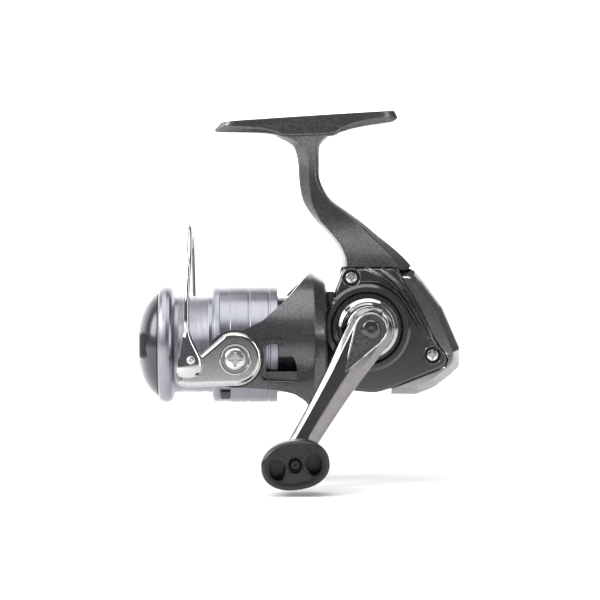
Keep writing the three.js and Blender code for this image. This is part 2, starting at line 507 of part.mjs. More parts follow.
const springPath = Array.from({ length: 31 }, (_, i) => {
  const angle = i / 12 * 2 * Math.PI;
  return [PIVOT_X + 3.9 * Math.cos(angle), -23.9 - i * 0.055, PIVOT_Z + 3.9 * Math.sin(angle)];
});
add("bail_spring", bar(springPath, 0.3, 30, 4), steel);

// ---- the bail ------------------------------------------------------------------------------------
const LEVER = [
  ...arc(PIVOT_X, PIVOT_Z, 9, -95, 120, 18), [-54, -2], [-57.5, -6.4], [-61.5, -6.6], [-64.4, -8.2],
  [-64.4, -12.4], [-61, -13.6],
];
const ear = rodY(-22.6, -21.3, 2.9, ROLLER_X, ROLLER_Z, 20);
const bailArm = cut(joined(
  prism(LEVER, -28.6, -26.3),
  prism([[-61, -13.6], [-57, -13.4], [-60.4, -9.6], [-64.4, -8.2], [-64.4, -12.4]], -28.6, -21.3),
  prism([[-60.6, -12.8], [-58, -9], [-57.6, -5], [-62.6, -4], [-64.2, -11.6]], -22.6, -21.3),
  ear,
), rodY(-40, -20, 2.5, PIVOT_X, PIVOT_Z), rodY(-40, -27.5, 4.4, PIVOT_X, PIVOT_Z, 24),
rodY(-40, -20, 0.85, ROLLER_X, ROLLER_Z, 12), rodY(-40, -22.9, 3.5, ROLLER_X, ROLLER_Z, 24));
add("bail_arm", bailArm, chrome);
const WIRE = [
  [-60.7, -28.9, 3.6], [-61, -29.4, 9], [-60.8, -28.9, 18], [-60.2, -25.4, 29], [-60, -17.6, 37.6],
  [-60, -6, 42.2], [-60, 6, 42.2], [-59.7, 17.6, 37.6], [-59.4, 25.4, 29], [-59.2, 28.4, 18],
  [-58.9, 28, 9], [-58.6, 27.5, 5],
];
const cone = loft([[-7, 1.6, 1.3, -59.6], [-6, 2.7, 1.5, -59.7], [-3, 3, 1.6, -59.9],
  [0, 2.4, 1.6, -60.2], [3, 1.5, 1.4, -60.6], [5, 1.15, 1.15, -60.8]].map(([z, wide, deep, x]) =>
  Array.from({ length: 16 }, (_, i) => {
    const angle = i * Math.PI / 8;
    return [x + wide * Math.cos(angle), -28.9 + deep * Math.sin(angle), z];
  })));
add("bail_wire", joined(bar(WIRE, WIRE_R, 34, 8), cone)
  .subtract(rodY(-40, -20, 0.85, ROLLER_X, ROLLER_Z, 12)), chrome);
const HOLDER = [
  ...arc(PIVOT_X, PIVOT_Z, 7.4, -80, 110, 14), [-50, 4.6], [-57.6, 8.4], [-60.4, 7.6], [-60.6, 3],
  [-54, -6],
];
const wireSocket = bar(WIRE.slice(-5), WIRE_R + 0.25, 12, 8);
add("bail_holder", cut(prism(HOLDER, 26.3, 28.9), rodY(20, 40, 2.5, PIVOT_X, PIVOT_Z),
  rodY(27.5, 40, 3.5, PIVOT_X, PIVOT_Z, 24), wireSocket), gloss);
screw("bail_pivot_screw_near", PIVOT_X, PIVOT_Z, -27.8, -23.2, 3.9, 0.65);
screw("bail_pivot_screw_far", PIVOT_X, PIVOT_Z, 27.8, 23.2, 3.1, 0.65, 1);
add("line_roller", turnedY([[-23.2, 1.6], [-23.2, 3.2], [-24, 3.1], [-24.8, 2.5], [-25.6, 2.6],
  [-26.3, 3.1], [-26.9, 3.2], [-26.9, 1.6]], 20, ROLLER_X, ROLLER_Z), chrome);
add("roller_bush", turnedY(tube(-22.9, -27.1, 1.35, 0.85), 20, ROLLER_X, ROLLER_Z), brass);
add("roller_pin", turnedY([[-21.5, 0], [-21.5, 0.62], [-30.7, 0.62], [-30.7, 1.5], [-31.1, 1.2],
  [-31.2, 0]], 16, ROLLER_X, ROLLER_Z), steel);

// ---- the main shaft and what slides with it ----------------------------------------------------
add("main_shaft", turnedX([[SHAFT_FRONT, 0], [SHAFT_FRONT, 1], [SHAFT_FRONT + 0.4, 1.3],
  [-66.5, 1.3], [-66.5, SHAFT_R], [SHAFT_REAR, SHAFT_R], [SHAFT_REAR, 0]], 20), steel);
add("oscillation_slider", cut(joined(
  box(SLIDER_X - 3.1, SLIDER_X + 3.1, -4.3, 2.6, -2.6, 2.6),
  box(SLIDER_X - 2.6, SLIDER_X + 2.6, -4.3, -2.5, -7.9, 5.5),
), rodX(0, 30, SHAFT_R + 0.12), box(SLIDER_X - 1.15, SLIDER_X + 1.15, -5, -3.4, -7, 4.6),
rodY(1.5, 5, 0.7, SLIDER_X, 0, 12)), zinc);
screw("slider_screw", SLIDER_X, 0, 2.75, 1.75, 1.2, 0.55, 1);
add("spool_seat", prismX(gearOutline(0, 0, 18, 4.6, 5.2), -52.2, -51, 1.65), zinc);
add("drag_washer_felt_rear", turnedX(tube(-64.1, -63.1, 8.1, 2), 20), felt);
add("drag_washer_keyed", turnedX(tube(-65, -64.4, 8.1, 1.7), 20), steel);
add("drag_washer_felt_front", turnedX(tube(-66.3, -65.3, 8.1, 2), 20), felt);
add("drag_pressure_washer", turnedX(tube(-67.4, -66.7, 7.8, 1.7), 20), steel);
const coil = Array.from({ length: 25 }, (_, i) => {
  const angle = i / 8 * 2 * Math.PI;
  return [-70.6 + i * 0.115, 2.9 * Math.cos(angle), 2.9 * Math.sin(angle)];
});
add("drag_spring", bar(coil, 0.28, 26, 4), steel);

// ---- the spool -----------------------------------------------------------------------------------
const SPOOL = [
  [-69.6, 17], [-70.8, 18.3], [-70.3, 19.4], [-69, LIP_R], [-67.4, LIP_R], [-66.2, 19.3],
  [LIP_REAR, 17.8], [LIP_REAR, ARBOR_R], [-53, ARBOR_R], [SKIRT_FRONT, 17.4], [SKIRT_FRONT, 19],
  [-51.6, 19.7], [-50, LIP_R], [-32.4, LIP_R], [-32, 19.6], [-31.4, 19.6], [-31, LIP_R],
  [SKIRT_REAR, 19.8], [SKIRT_REAR, SKIRT_BORE], [-50.6, SKIRT_BORE], [-51, 15.2], [-58.8, 15.2],
  [-59.2, 4.2], [-52.7, 4.2], [-52.7, 1.7], [-62.8, 1.7], [-62.8, DRAG_BORE], [-69.2, DRAG_BORE],
  [-69.6, 9.2],
];
const clipAngle = -122, clipSpread = 7;
const clipWedge = prismX([[0, 0], ...[-clipSpread, clipSpread].map((spread) => {
  const angle = (clipAngle + spread) * Math.PI / 180;
  return [30 * Math.cos(angle), 30 * Math.sin(angle)];
})], -52, -46);
const clipGap = prismX([[0, 0], ...[-clipSpread - 1, clipSpread + 1].map((spread) => {
  const angle = (clipAngle + spread) * Math.PI / 180;
  return [30 * Math.cos(angle), 30 * Math.sin(angle)];
})], -51.9, -46);
add("spool", turnedX(SPOOL, 36).subtract(clipGap.intersect(turnedX(tube(-49.9, -46, 22, 19.4), 36))),
  spoolAluminium);
add("line_clip", clipWedge.intersect(turnedX(tube(-49.6, -46.3, 20.45, 19.7), 36)), blackPlastic);
add("spool_retaining_ring", turnedX(tube(-68.3, -67.8, DRAG_BORE - 0.25, 6.8), 20), steel);

// ---- the drag knob -------------------------------------------------------------------------------
const DOME_LONG = 10.3, DOME_WIDE = 18.7;
const domeRadius = (depth) => DOME_WIDE * Math.sqrt(1 - (1 - depth / DOME_LONG) ** 2);
const dome = [0, 0.12, 0.5, 1.1, 2, 3.2, 4.6, 6, 7.1].map((depth) =>
  [DOME_APEX + depth, domeRadius(depth)]);
add("drag_knob", turnedX([...dome, [-71.2, 16.6], [-72.4, 15.6], [-74.6, 11.6], [-75.6, 7.4],
  [-71, 7.2], [-71, 5], [-73.8, 5], [-73.8, 1.7], [-76.6, 1.7], [-76.6, 0]], 32), knobPlastic);
add("drag_knob_nut", hexNut(-73.4, -71.4, 7, 1.55), brass);

export default (() => {
  const reel = new THREE.Group();
  reel.name = "spinning_reel";
  reel.add(machine);
  return reel;
})();
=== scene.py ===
"""The looks of the spinning reel: smooth, bevelled pieces over the CAD frame, and the studio."""
import json
import math

import bmesh
import bpy
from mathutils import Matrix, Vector


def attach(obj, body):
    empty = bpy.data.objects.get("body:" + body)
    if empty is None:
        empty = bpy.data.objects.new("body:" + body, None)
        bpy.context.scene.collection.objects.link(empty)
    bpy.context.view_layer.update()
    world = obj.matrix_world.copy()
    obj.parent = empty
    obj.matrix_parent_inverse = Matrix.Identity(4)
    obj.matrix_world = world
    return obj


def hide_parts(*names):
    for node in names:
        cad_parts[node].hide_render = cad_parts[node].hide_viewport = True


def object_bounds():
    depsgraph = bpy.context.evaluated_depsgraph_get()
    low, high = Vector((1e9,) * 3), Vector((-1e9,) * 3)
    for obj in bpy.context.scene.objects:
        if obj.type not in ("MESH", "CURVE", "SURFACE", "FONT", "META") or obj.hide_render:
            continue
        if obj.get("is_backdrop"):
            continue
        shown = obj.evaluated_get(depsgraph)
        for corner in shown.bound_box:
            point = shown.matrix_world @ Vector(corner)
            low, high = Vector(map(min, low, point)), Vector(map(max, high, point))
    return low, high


# The machine's own frame in millimetres: the spool axis is X, and the crank crosses it at x = 0.
SEAT = Vector((-19.8, 0.0, 77.8))
SEAT_TILT = math.radians(3.84)  # the foot rises to the rear against the spool axis
AXIS_R = 0.001  # the radius at which a turned profile closes on its axis
NOSE_BORE, TAIL_BORE = 3.9, 1.7  # the case's bores for the pinion bearing and the shaft's tail
SPLIT_Y, FAR_FACE = -4.8, 13.5  # where the case splits, and its far face
CRANK_Z = 5.8
PIVOT = (-44.8, -4.2)
ROLLER = (-59.5, -4.5)
ARM_DIRECTION = Vector((-25.8, -42.7)).normalized()
KNOB = (ARM_DIRECTION.x * 50, CRANK_Z + ARM_DIRECTION.y * 50)

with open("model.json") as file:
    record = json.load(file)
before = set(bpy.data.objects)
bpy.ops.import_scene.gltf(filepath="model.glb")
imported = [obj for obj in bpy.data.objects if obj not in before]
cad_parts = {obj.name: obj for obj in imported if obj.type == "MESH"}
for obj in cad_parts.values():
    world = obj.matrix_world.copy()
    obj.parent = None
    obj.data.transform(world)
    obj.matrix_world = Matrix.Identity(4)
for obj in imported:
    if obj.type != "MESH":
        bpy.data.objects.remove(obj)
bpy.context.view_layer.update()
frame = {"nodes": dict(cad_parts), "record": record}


# ---- materials -------------------------------------------------------------------------------
def surface(name, colour, metallic, roughness, **extra):
    """A Principled material with procedural wear: its roughness, colour and relief all vary."""
    grain = extra.get("grain", 900.0)
    material = bpy.data.materials.new(name)
    material.use_nodes = True
    tree = material.node_tree
    nodes, links = tree.nodes, tree.links
    shader = nodes["Principled BSDF"]
    shader.inputs["Metallic"].default_value = metallic
    shader.inputs["Coat Weight"].default_value = extra.get("coat", 0.0)
    shader.inputs["Coat Roughness"].default_value = 0.06
    shader.inputs["Anisotropic"].default_value = extra.get("anisotropy", 0.0)
    where = nodes.new("ShaderNodeTexCoord")
    stretch = nodes.new("ShaderNodeMapping")
    stretch.inputs["Scale"].default_value = extra.get("stretch", (1.0, 1.0, 1.0))
    links.new(where.outputs["Object"], stretch.inputs["Vector"])

    def noise(scale, detail):
        made = nodes.new("ShaderNodeTexNoise")
        made.inputs["Scale"].default_value = scale
        made.inputs["Detail"].default_value = detail
        links.new(stretch.outputs["Vector"], made.inputs["Vector"])
        return made.outputs["Fac"]

    def spread(value, low, high):
        made = nodes.new("ShaderNodeMapRange")
        made.inputs["From Min"].default_value = 0.25
        made.inputs["From Max"].default_value = 0.75
        made.inputs["To Min"].default_value = low
        made.inputs["To Max"].default_value = high
        links.new(value, made.inputs["Value"])
        return made.outputs["Result"]

    fine, broad = noise(grain, 3.0), noise(60.0, 4.0)
    links.new(spread(broad, roughness * 0.82, roughness * 1.2), shader.inputs["Roughness"])
    mix = nodes.new("ShaderNodeMix")
    mix.data_type = "RGBA"
    shift = extra.get("shift", 0.12)
    mix.inputs["A"].default_value = (*[c * (1 - shift) for c in colour], 1)
    mix.inputs["B"].default_value = (*[min(1, c * (1 + shift)) for c in colour], 1)
    links.new(spread(fine, 0.0, 1.0), mix.inputs["Factor"])
    links.new(mix.outputs["Result"], shader.inputs["Base Color"])
    bump = nodes.new("ShaderNodeBump")
    bump.inputs["Strength"].default_value = extra.get("relief", 0.05)
    bump.inputs["Distance"].default_value = 0.00005
    links.new(fine, bump.inputs["Height"])
    links.new(bump.outputs["Normal"], shader.inputs["Normal"])
    return material


def turned(name, colour, roughness, pitch):
    """Metal turned on a lathe: fine rings across the X axis."""
    material = surface(name, colour, 1.0, roughness, grain=900.0, stretch=(5.0, 0.02, 0.02),
                       relief=0.04, shift=0.05)
    nodes, links = material.node_tree.nodes, material.node_tree.links
    rings = nodes.new("ShaderNodeTexWave")
    rings.bands_direction = "X"
    rings.inputs["Scale"].default_value = pitch
    rings.inputs["Distortion"].default_value = 0.4
    where = next(n for n in nodes if n.bl_idname == "ShaderNodeTexCoord")
    links.new(where.outputs["Object"], rings.inputs["Vector"])
    grooves = nodes.new("ShaderNodeBump")
    grooves.inputs["Strength"].default_value = 0.12
    grooves.inputs["Distance"].default_value = 0.00003
    first = next(n for n in nodes if n.bl_idname == "ShaderNodeBump")
    links.new(rings.outputs["Fac"], grooves.inputs["Height"])
    links.new(first.outputs["Normal"], grooves.inputs["Normal"])
    links.new(grooves.outputs["Normal"], nodes["Principled BSDF"].inputs["Normal"])
    return material


MATERIALS = {
    "graphite_paint": surface("graphite_paint", (0.1, 0.101, 0.104), 0.85, 0.33, coat=0.35,
                              grain=1900.0, relief=0.3, shift=0.5),
    "gloss_graphite": surface("gloss_graphite", (0.065, 0.066, 0.07), 0.75, 0.18, coat=0.7,
                              grain=3000.0, relief=0.04, shift=0.15),
    "dark_chrome": surface("dark_chrome", (0.24, 0.23, 0.222), 1.0, 0.2, coat=0.25, relief=0.03),
    "rear_chrome": surface("rear_chrome", (0.42, 0.415, 0.41), 1.0, 0.09, relief=0.02),
    "chrome_plate": surface("chrome_plate", (0.5, 0.495, 0.49), 1.0, 0.08, relief=0.02),
    "turned_aluminium": turned("turned_aluminium", (0.3, 0.302, 0.335), 0.3, 700.0),
    "knob_lacquer": surface("knob_lacquer", (0.06, 0.062, 0.07), 0.8, 0.26, coat=0.4,
                            grain=3600.0, relief=0.06, shift=0.2),
    "grip_plastic": surface("grip_plastic", (0.009, 0.0095, 0.011), 0.0, 0.26, grain=2600.0,
                            relief=0.3, shift=0.15),
    "steel": surface("steel", (0.62, 0.62, 0.63), 1.0, 0.24, grain=2000.0, relief=0.12),
    "brass": surface("brass", (0.72, 0.55, 0.27), 1.0, 0.28, relief=0.1),
    "zinc_alloy": surface("zinc_alloy", (0.45, 0.46, 0.48), 1.0, 0.42, relief=0.25),
    "black_plastic": surface("black_plastic", (0.02, 0.02, 0.022), 0.0, 0.45, relief=0.2),
    "felt": surface("felt", (0.3, 0.27, 0.22), 0.0, 0.95, grain=4000.0, relief=0.9, shift=0.3),
}
for entry in frame["record"]["subparts"]:
    node = frame["nodes"][entry["node"]]
    node.data.materials.clear()
    node.data.materials.append(MATERIALS[entry["material_slot"]])


# ---- building pieces ---------------------------------------------------------------------------
def at(x, y, z):
    """A machine-frame point in millimetres as a row-frame point in metres."""
    return (Vector((x, y, z)) - SEAT) / 1000


def raw(name, points, faces):
    """A mesh object from machine-frame points, with its faces turned outwards."""
    mesh = bpy.data.meshes.new(name)
    mesh.from_pydata([at(*p) for p in points], [], faces)
    bm = bmesh.new()
    bm.from_mesh(mesh)
    bmesh.ops.remove_doubles(bm, verts=bm.verts, dist=1e-7)
    bmesh.ops.recalc_face_normals(bm, faces=bm.faces)
    bm.to_mesh(mesh)
    bm.free()
    obj = bpy.data.objects.new(name, mesh)
    bpy.context.scene.collection.objects.link(obj)
    return obj


def skin(name, rings, closed=False):
    """A skin through rings of points with equal counts; its ends are flat caps unless closed."""
    count = len(rings[0])
    faces = []
    for k in range(len(rings) if closed else len(rings) - 1):
        after = (k + 1) % len(rings)
        for i in range(count):
            j = (i + 1) % count
            faces.append((k * count + i, k * count + j, after * count + j, after * count + i))
    if not closed:
        faces.append(tuple(range(count)))
        faces.append(tuple(range((len(rings) - 1) * count, len(rings) * count)))
    return raw(name, [p for ring in rings for p in ring], faces)


def smooth_rings(rings, steps):
    """Catmull-Rom rings between the given ones, so a skin through them has no kinks."""
    out = []
    for k in range(len(rings) - 1):
        a, b, c, d = (rings[min(max(k + q, 0), len(rings) - 1)] for q in (-1, 0, 1, 2))
        for s in range(steps):
            t = s / steps
            out.append([
                tuple(0.5 * (2 * q + (r - p) * t + (2 * p - 5 * q + 4 * r - u) * t * t
                             + (3 * q - p - 3 * r + u) * t ** 3)
                      for p, q, r, u in zip(*quad))
                for quad in zip(a, b, c, d)])
    out.append(rings[-1])
    return out


def rounded(points, radius, steps=4, closed=True):
    """The corners of a flat outline or profile rounded off."""
    out = []
    count = len(points)
    for i, point in enumerate(points):
        if not closed and i in (0, count - 1):
            out.append(tuple(point))
            continue
        here = Vector(point)
        before, after = Vector(points[i - 1]) - here, Vector(points[(i + 1) % count]) - here
        if before.length < 1e-6 or after.length < 1e-6:
            continue
        r = min(radius, before.length * 0.45, after.length * 0.45)
        start, end = here + before.normalized() * r, here + after.normalized() * r
        for s in range(steps + 1):
            t = s / steps
            out.append(tuple(start * (1 - t) ** 2 + here * 2 * t * (1 - t) + end * t * t))
    return out


def lathe(name, profile, axis="x", centre=(0, 0), segments=96, corner=0.25, closed=True):
    """A profile of (along, radius) points turned about a line along X or Y."""
    points = rounded(profile, corner, 4, closed) if corner else profile
    rings = []
    for i in range(segments):
        a = 2 * math.pi * i / segments
        if axis == "x":
            rings.append([(s, centre[0] + r * math.cos(a), centre[1] + r * math.sin(a))
                          for s, r in points])
        else:
            rings.append([(centre[0] + r * math.cos(a), s, centre[1] + r * math.sin(a))
                          for s, r in points])
    return skin(name, rings, closed=True)


def pipe(first, last, outer, inner):
    return [(first, inner), (first, outer), (last, outer), (last, inner)]


def disc_y(name, first, last, r, centre, segments=64):
    """A plain round bar along Y."""
    ring = [(centre[0] + r * math.cos(2 * math.pi * i / segments),
             centre[1] + r * math.sin(2 * math.pi * i / segments)) for i in range(segments)]
    return slab(name, ring, first, last)


def rod_x(name, first, last, radius, sides=64):
    """A solid round rod along the spool axis."""
    circle = [(radius * math.cos(2 * math.pi * i / sides),
        radius * math.sin(2 * math.pi * i / sides))
              for i in range(sides)]
    return skin(name, [[(x, y, z) for y, z in circle] for x in (first, last)])


def slab(name, outline, first, last):
    """A shape drawn in the XZ plane, extruded along Y."""
    return skin(name, [[(x, y, z) for x, z in outline] for y in (first, last)])


def stack(name, layers):
    """A skin through XZ outlines with equal counts, each at its own y."""
    return skin(name, [[(x, y, z) for x, z in outline] for y, outline in layers])


def inset(outline, distance):
    """An anticlockwise outline moved inwards, with mitred corners."""
    out = []
    for i, point in enumerate(outline):
        p, a, b = Vector(point), Vector(outline[i - 1]), Vector(outline[(i + 1) % len(outline)])
        d, e = (p - a).normalized(), (b - p).normalized()
        reach = distance / (1 + d.dot(e))
        out.append((p.x - (d.y + e.y) * reach, p.y + (d.x + e.x) * reach))
    return out


def arc(centre, r, first, last, steps):
    return [(centre[0] + r * math.cos(math.radians(first + (last - first) * i / steps)),
             centre[1] + r * math.sin(math.radians(first + (last - first) * i / steps)))
            for i in range(steps + 1)]


def cut(obj, *tools, operation="DIFFERENCE"):
    for tool in tools:
        step = obj.modifiers.new("cut", "BOOLEAN")
        step.operation = operation
        step.solver = "EXACT"
        step.object = tool
    bake(obj)
    for tool in tools:
        bpy.data.objects.remove(tool)
    return obj


def join(obj, *others):
    return cut(obj, *others, operation="UNION")


def bevel(obj, width, segments=3, angle=28):
    step = obj.modifiers.new("bevel", "BEVEL")
    step.width = width / 1000
    step.segments = segments
    step.limit_method = "ANGLE"
    step.angle_limit = math.radians(angle)
    step.use_clamp_overlap = True
    bake(obj)
    return obj


def bake(obj):
    """The object's modifiers worked into its mesh."""
    graph = bpy.context.evaluated_depsgraph_get()
    made = bpy.data.meshes.new_from_object(obj.evaluated_get(graph), depsgraph=graph)
    obj.modifiers.clear()
    old = obj.data
    obj.data = made
    bpy.data.meshes.remove(old)


def piece(obj, slot, body, *nodes, angle=38, look=None):
    """Gives a finished object its finish, its CAD body and the CAD nodes that it stands for."""
    mesh = obj.data
    mesh.materials.clear()
    mesh.materials.append(MATERIALS[look or slot])
    mesh.polygons.foreach_set("use_smooth", [True] * len(mesh.polygons))
    mesh.set_sharp_from_angle(angle=math.radians(angle))
    weigh = obj.modifiers.new("normals", "WEIGHTED_NORMAL")
    weigh.keep_sharp = True
    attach(obj, body)
    if nodes:
        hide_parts(*nodes)
    return obj


def line(name, points, radius, steps=8, resolution=8, closed=False):
    """A round wire along a smooth path through the points."""
    if closed:
        path = [Vector(p) for p in points]
    else:
        path = [Vector(p) for p in smooth_rings([[p] for p in points], steps) for p in p]
    sides = resolution * 2
    rings = []
    count = len(path)
    normal = None
    for i, p in enumerate(path):
        before = path[i - 1] if closed or i else p
        after = path[(i + 1) % count] if closed or i < count - 1 else p
        tangent = (after - before).normalized()
        if normal is None:
            normal = tangent.orthogonal().normalized()
        normal = (normal - tangent * normal.dot(tangent)).normalized()
        side = tangent.cross(normal)
        r = radius(i / (count - 1)) if callable(radius) else radius
        rings.append([tuple(p + normal * r * math.cos(2 * math.pi * k / sides)
                            + side * r * math.sin(2 * math.pi * k / sides))
                      for k in range(sides)])
    return skin(name, rings, closed=closed)


def graph(rows, s):
    """A row of values read off between the given rows, whose first value is the place."""
    rows = [list(r) for r in rows]
    if s <= rows[0][0]:
        return rows[0][1:]
    for k in range(len(rows) - 1):
        if s <= rows[k + 1][0]:
            a, b, c, d = (rows[min(max(k + q, 0), len(rows) - 1)] for q in (-1, 0, 1, 2))
            span = c[0] - b[0]
            t = (s - b[0]) / span
            out = []
            for i in range(1, len(b)):
                m0 = (c[i] - a[i]) / max(c[0] - a[0], 1e-6) * span
                m1 = (d[i] - b[i]) / max(d[0] - b[0], 1e-6) * span
                out.append((2 * t ** 3 - 3 * t ** 2 + 1) * b[i] + (t ** 3 - 2 * t ** 2 + t) * m0
                           + (3 * t ** 2 - 2 * t ** 3) * c[i] + (t ** 3 - t ** 2) * m1)
            return out
    return rows[-1][1:]


# ---- camera ------------------------------------------------------------------------------------
def make_camera(azimuth=-2, elevation=0.5, distance=0.8):
    data = bpy.data.cameras.new("camera")
    data.sensor_width = 36
    data.lens = 139.1
    data.clip_start, data.clip_end = 0.01, 50
    made = bpy.data.objects.new("camera", data)
    bpy.context.scene.collection.objects.link(made)
    a, e = math.radians(azimuth), math.radians(elevation)
    back = Vector((math.sin(a) * math.cos(e), -math.cos(a) * math.cos(e), math.sin(e)))
    made.location = at(-22.25, 0, 15.2) + back * distance
    made.rotation_mode = "QUATERNION"
    made.rotation_quaternion = (-back).to_track_quat("-Z", "Y")
    bpy.context.scene.camera = made


make_camera()

# ---- the body: foot, stem and gearbox ---------------------------------------------------------------
STEM = [  # z, front x, rear x, near half-width, far half-width
    (26.6, -8.1, 15.9, 12.1, 13.2), (29.7, -8.1, 13.3, 11.2, 12), (33.8, -9.5, 8.8, 9.7, 10.1),
    (38, -12.6, 3.6, 8, 8.1), (42.1, -16.4, -1.2, 6.6, 6.6), (46.2, -19.5, -6.7, 5.6, 5.6),
    (50.4, -21.6, -12.2, 4.9, 4.9), (56.6, -22.6, -15.4, 4.6, 4.6), (62, -22.9, -15.7, 4.9, 4.9),
    (66.9, -24, -15.7, 5.6, 5.6), (69, -25.7, -15, 6.1, 6.1), (71.1, -29.8, -12.9, 6.6, 6.6),
    (73.4, -34, -9.5, 7, 7), (75.4, -38, -6, 7.1, 7.1),
]
STEM_BEVELS = [(26.6, 0.8, 5.2), (34, 0.9, 3.8), (42, 1.1, 2.2), (48, 2.2, 1.5), (56, 3, 1.3), (76,
    3, 1.3)]
FOOT = [  # x, underside z, half-width
    (-51.7, 73.7, 2.6), (-51, 72.9, 4.4), (-48.5, 72.7, 6), (-44, 72.6, 6.7), (-36, 72.4, 7),
    (-31, 71.8, 7.1), (-27, 70.8, 7.2), (-12.6, 71.3, 7.2), (-8.5, 72.7, 7), (-4.3, 74, 6.9),
    (1, 75.1, 6.5), (6, 75.9, 5.8), (9.6, 76.6, 4.4), (11.4, 77.9, 2.6),
]
FOOT_SLANT = [(-51.7, 2.4), (-50, 1.6), (-44, 0), (4, 0), (9, -0.9), (11.4, -1.3)]
FOOT_BEVEL = [(-52, 0.55), (-40, 0.4), (-28, 0.12), (-12, 0.12), (-4, 0.3), (11, 0.5)]
CASE = [
    (-10.9, -14.6), (-3, -15.9), (3.5, -16.4), (9.1, -14.6), (26.9, -7.6), (28, -3.8),
    (24.6, -0.3), (19.1, 11.7), (10.2, 26.3), (-8, 26.3), (-9.6, 21.4), (-10.9, 18.2),
]
OUTER = [
    (3, -17), (17.4, -17.2), (23.6, -14.8), (29.8, -10), (32.4, -7.4), (32.5, -1),
    (26.4, 13.1), (19.8, 22), (16.4, 26), (2, 26),
]
SCREWS = {"top": (-5.2, 22.9), "rear": (22.5, -3.5), "bottom": (-6.8, -11.6)}
REAR_SCREW = (21.5, -12)


def stem():
    rings = []
    for z, front, rear, near, far in STEM:
        ahead, behind = graph(STEM_BEVELS, z)
        corners = [
            (front, -near * 0.42), (front + ahead, -near), (rear - behind, -near),
            (rear, -near * 0.62), (rear, far * 0.62), (rear - behind, far),
            (front + ahead, far), (front, far * 0.42),
        ]
        rings.append([(x, y, z) for x, y in rounded(corners, 0.7, 3)])
    return skin("stem", smooth_rings(rings, 5))


def foot():
    rings = []
    for x, under, half in FOOT:
        top = SEAT.z + 0.6 + (x - SEAT.x) * math.tan(SEAT_TILT)
        side = under + (top - under) * graph(FOOT_BEVEL, x)[0]
        corners = [
            (-half, side), (-half * 0.8, under), (half * 0.8, under), (half, side),
            (half * 0.97, top), (2.3, top - 0.6), (-2.3, top - 0.6), (-half * 0.97, top),
        ]
        slant = graph(FOOT_SLANT, x)[0]
        rings.append([(x + slant * (z - under) / (top - under), y, z)
                      for y, z in rounded(corners, 0.5, 3)])
    return skin("foot", smooth_rings(rings, 5))


piece(stem(), "graphite_paint", "body", "body_frame", angle=30)
piece(foot(), "graphite_paint", "body", "body_frame", angle=30)

hollow = inset(CASE, 1.7)
far_outline = rounded(CASE[:9] + [(10.2, 27.4), (-8, 27.4)] + CASE[10:], 1.2, 3)
far_case = bevel(slab("gearbox", far_outline, SPLIT_Y, FAR_FACE), 1.4, 4)
far_case = cut(far_case, slab("cutter", hollow, -6, 11.8), rod_x("cutter", -14, -8, NOSE_BORE),
    rod_x("cutter", 16, 26, TAIL_BORE))
piece(far_case, "graphite_paint", "body", "body_frame")
# painted shade: the bulkhead is black plastic so that the gap between the rotor and the body reads as
# shade
painted_shade_bulkhead = slab("painted_shade_bulkhead", [(-13.1, -14.6), (-11.4, -14.6), (-11.4, 18.2), (-13.1, 18.2)], -12.1,
    13.5)
piece(bevel(cut(painted_shade_bulkhead, rod_x("cutter", -14, -8, NOSE_BORE)), 0.3), "black_plastic",
      "body", "body_frame")
SEAM = [(-7.6, -10.6), (9.6, -10.6), (15, -6.8), (15, 7.4), (9.6, 12.2), (-7.6, 12.2)]
seam = skin("stem_base", [[(x, y, z) for x, y in SEAM] for z in (25.6, 26.9)])
piece(seam, "black_plastic", "body", "body_frame")
piece(lathe("nose_collar", [(-13, 12.4), (-27, 12.4), (-27, 10.9), (-18.2, 10.9), (-18.2, 6.2),
                            (-14, 6.2), (-14, 3.9), (-13,
                                3.9)]), "graphite_paint", "body", "body_frame")
piece(lathe("far_bearing_seat", [(8.9, 4.9), (8.9, 6.4), (13.5, 8.6), (15.1, 8), (15.1, 3.6),
                                 (12.2, 3.6), (12.2, 4.9)], "y", (0, CRANK_Z)),
      "graphite_paint", "body", "body_frame")


def side_cover():
    outline = rounded(CASE, 2.2, 4)
    cover = stack("side_cover_shell", [
        (-5.1, outline), (-11.2, outline), (-11.9, inset(outline, 0.2)), (-12.3, inset(outline,
            0.55)),
        (-12.5, inset(outline, 1.1))])
    tools = [slab("cutter", hollow, -10.8, 0), disc_y("cutter", -20, -5, 4.1, (0, CRANK_Z))]
    tools += [disc_y("cutter", -20, -10.9, 2.9, spot, 48) for spot in SCREWS.values()]
    return cut(cover, *tools)


piece(side_cover(), "gloss_graphite", "body", "side_cover", angle=32)
boss = lathe("crank_boss", [(-12, 14.9), (-14.6, 14.9), (-15.6, 13.9), (-15.6, 12.4), (-14.2, 11.6),
                            (-14.2, 4.1), (-12, 4.1)], "y", (0, CRANK_Z), 128, corner=0)
boss = cut(boss, slab("cutter", [(-30, -30), (-13.3, -30), (-13.3, 30), (-30, 30)], -20, 0))
piece(bevel(boss, 0.3), "gloss_graphite", "body", "side_cover")
RIDGES = {  # crest x, crest z, width, height
    "outer": [(5, 26.1, 1.6, 0.3), (12.3, 19.7, 2.4, 0.9), (17.4, 11.2, 2.1, 0.9), (21.4, 3.6, 1.4,
        0.7),
              (24.0, -1.8, 0.3, 0.2)],
    "middle": [(-0.6, 26.1, 1.2, 0.2), (7.6, 21.8, 2.0, 0.8), (13.8, 14.6, 1.7, 0.8), (18.9, 6.0,
        1.2, 0.6),
               (23.0, -1.4, 0.3, 0.2)],
    "inner": [(-1.6, 21.6, 0.4, 0.1), (4.7, 20.7, 1.3, 0.6), (10.9, 16.6, 1.4, 0.6), (15.6, 9.6,
        1.1, 0.5),
              (20.0, 1.6, 0.3, 0.1)],
}


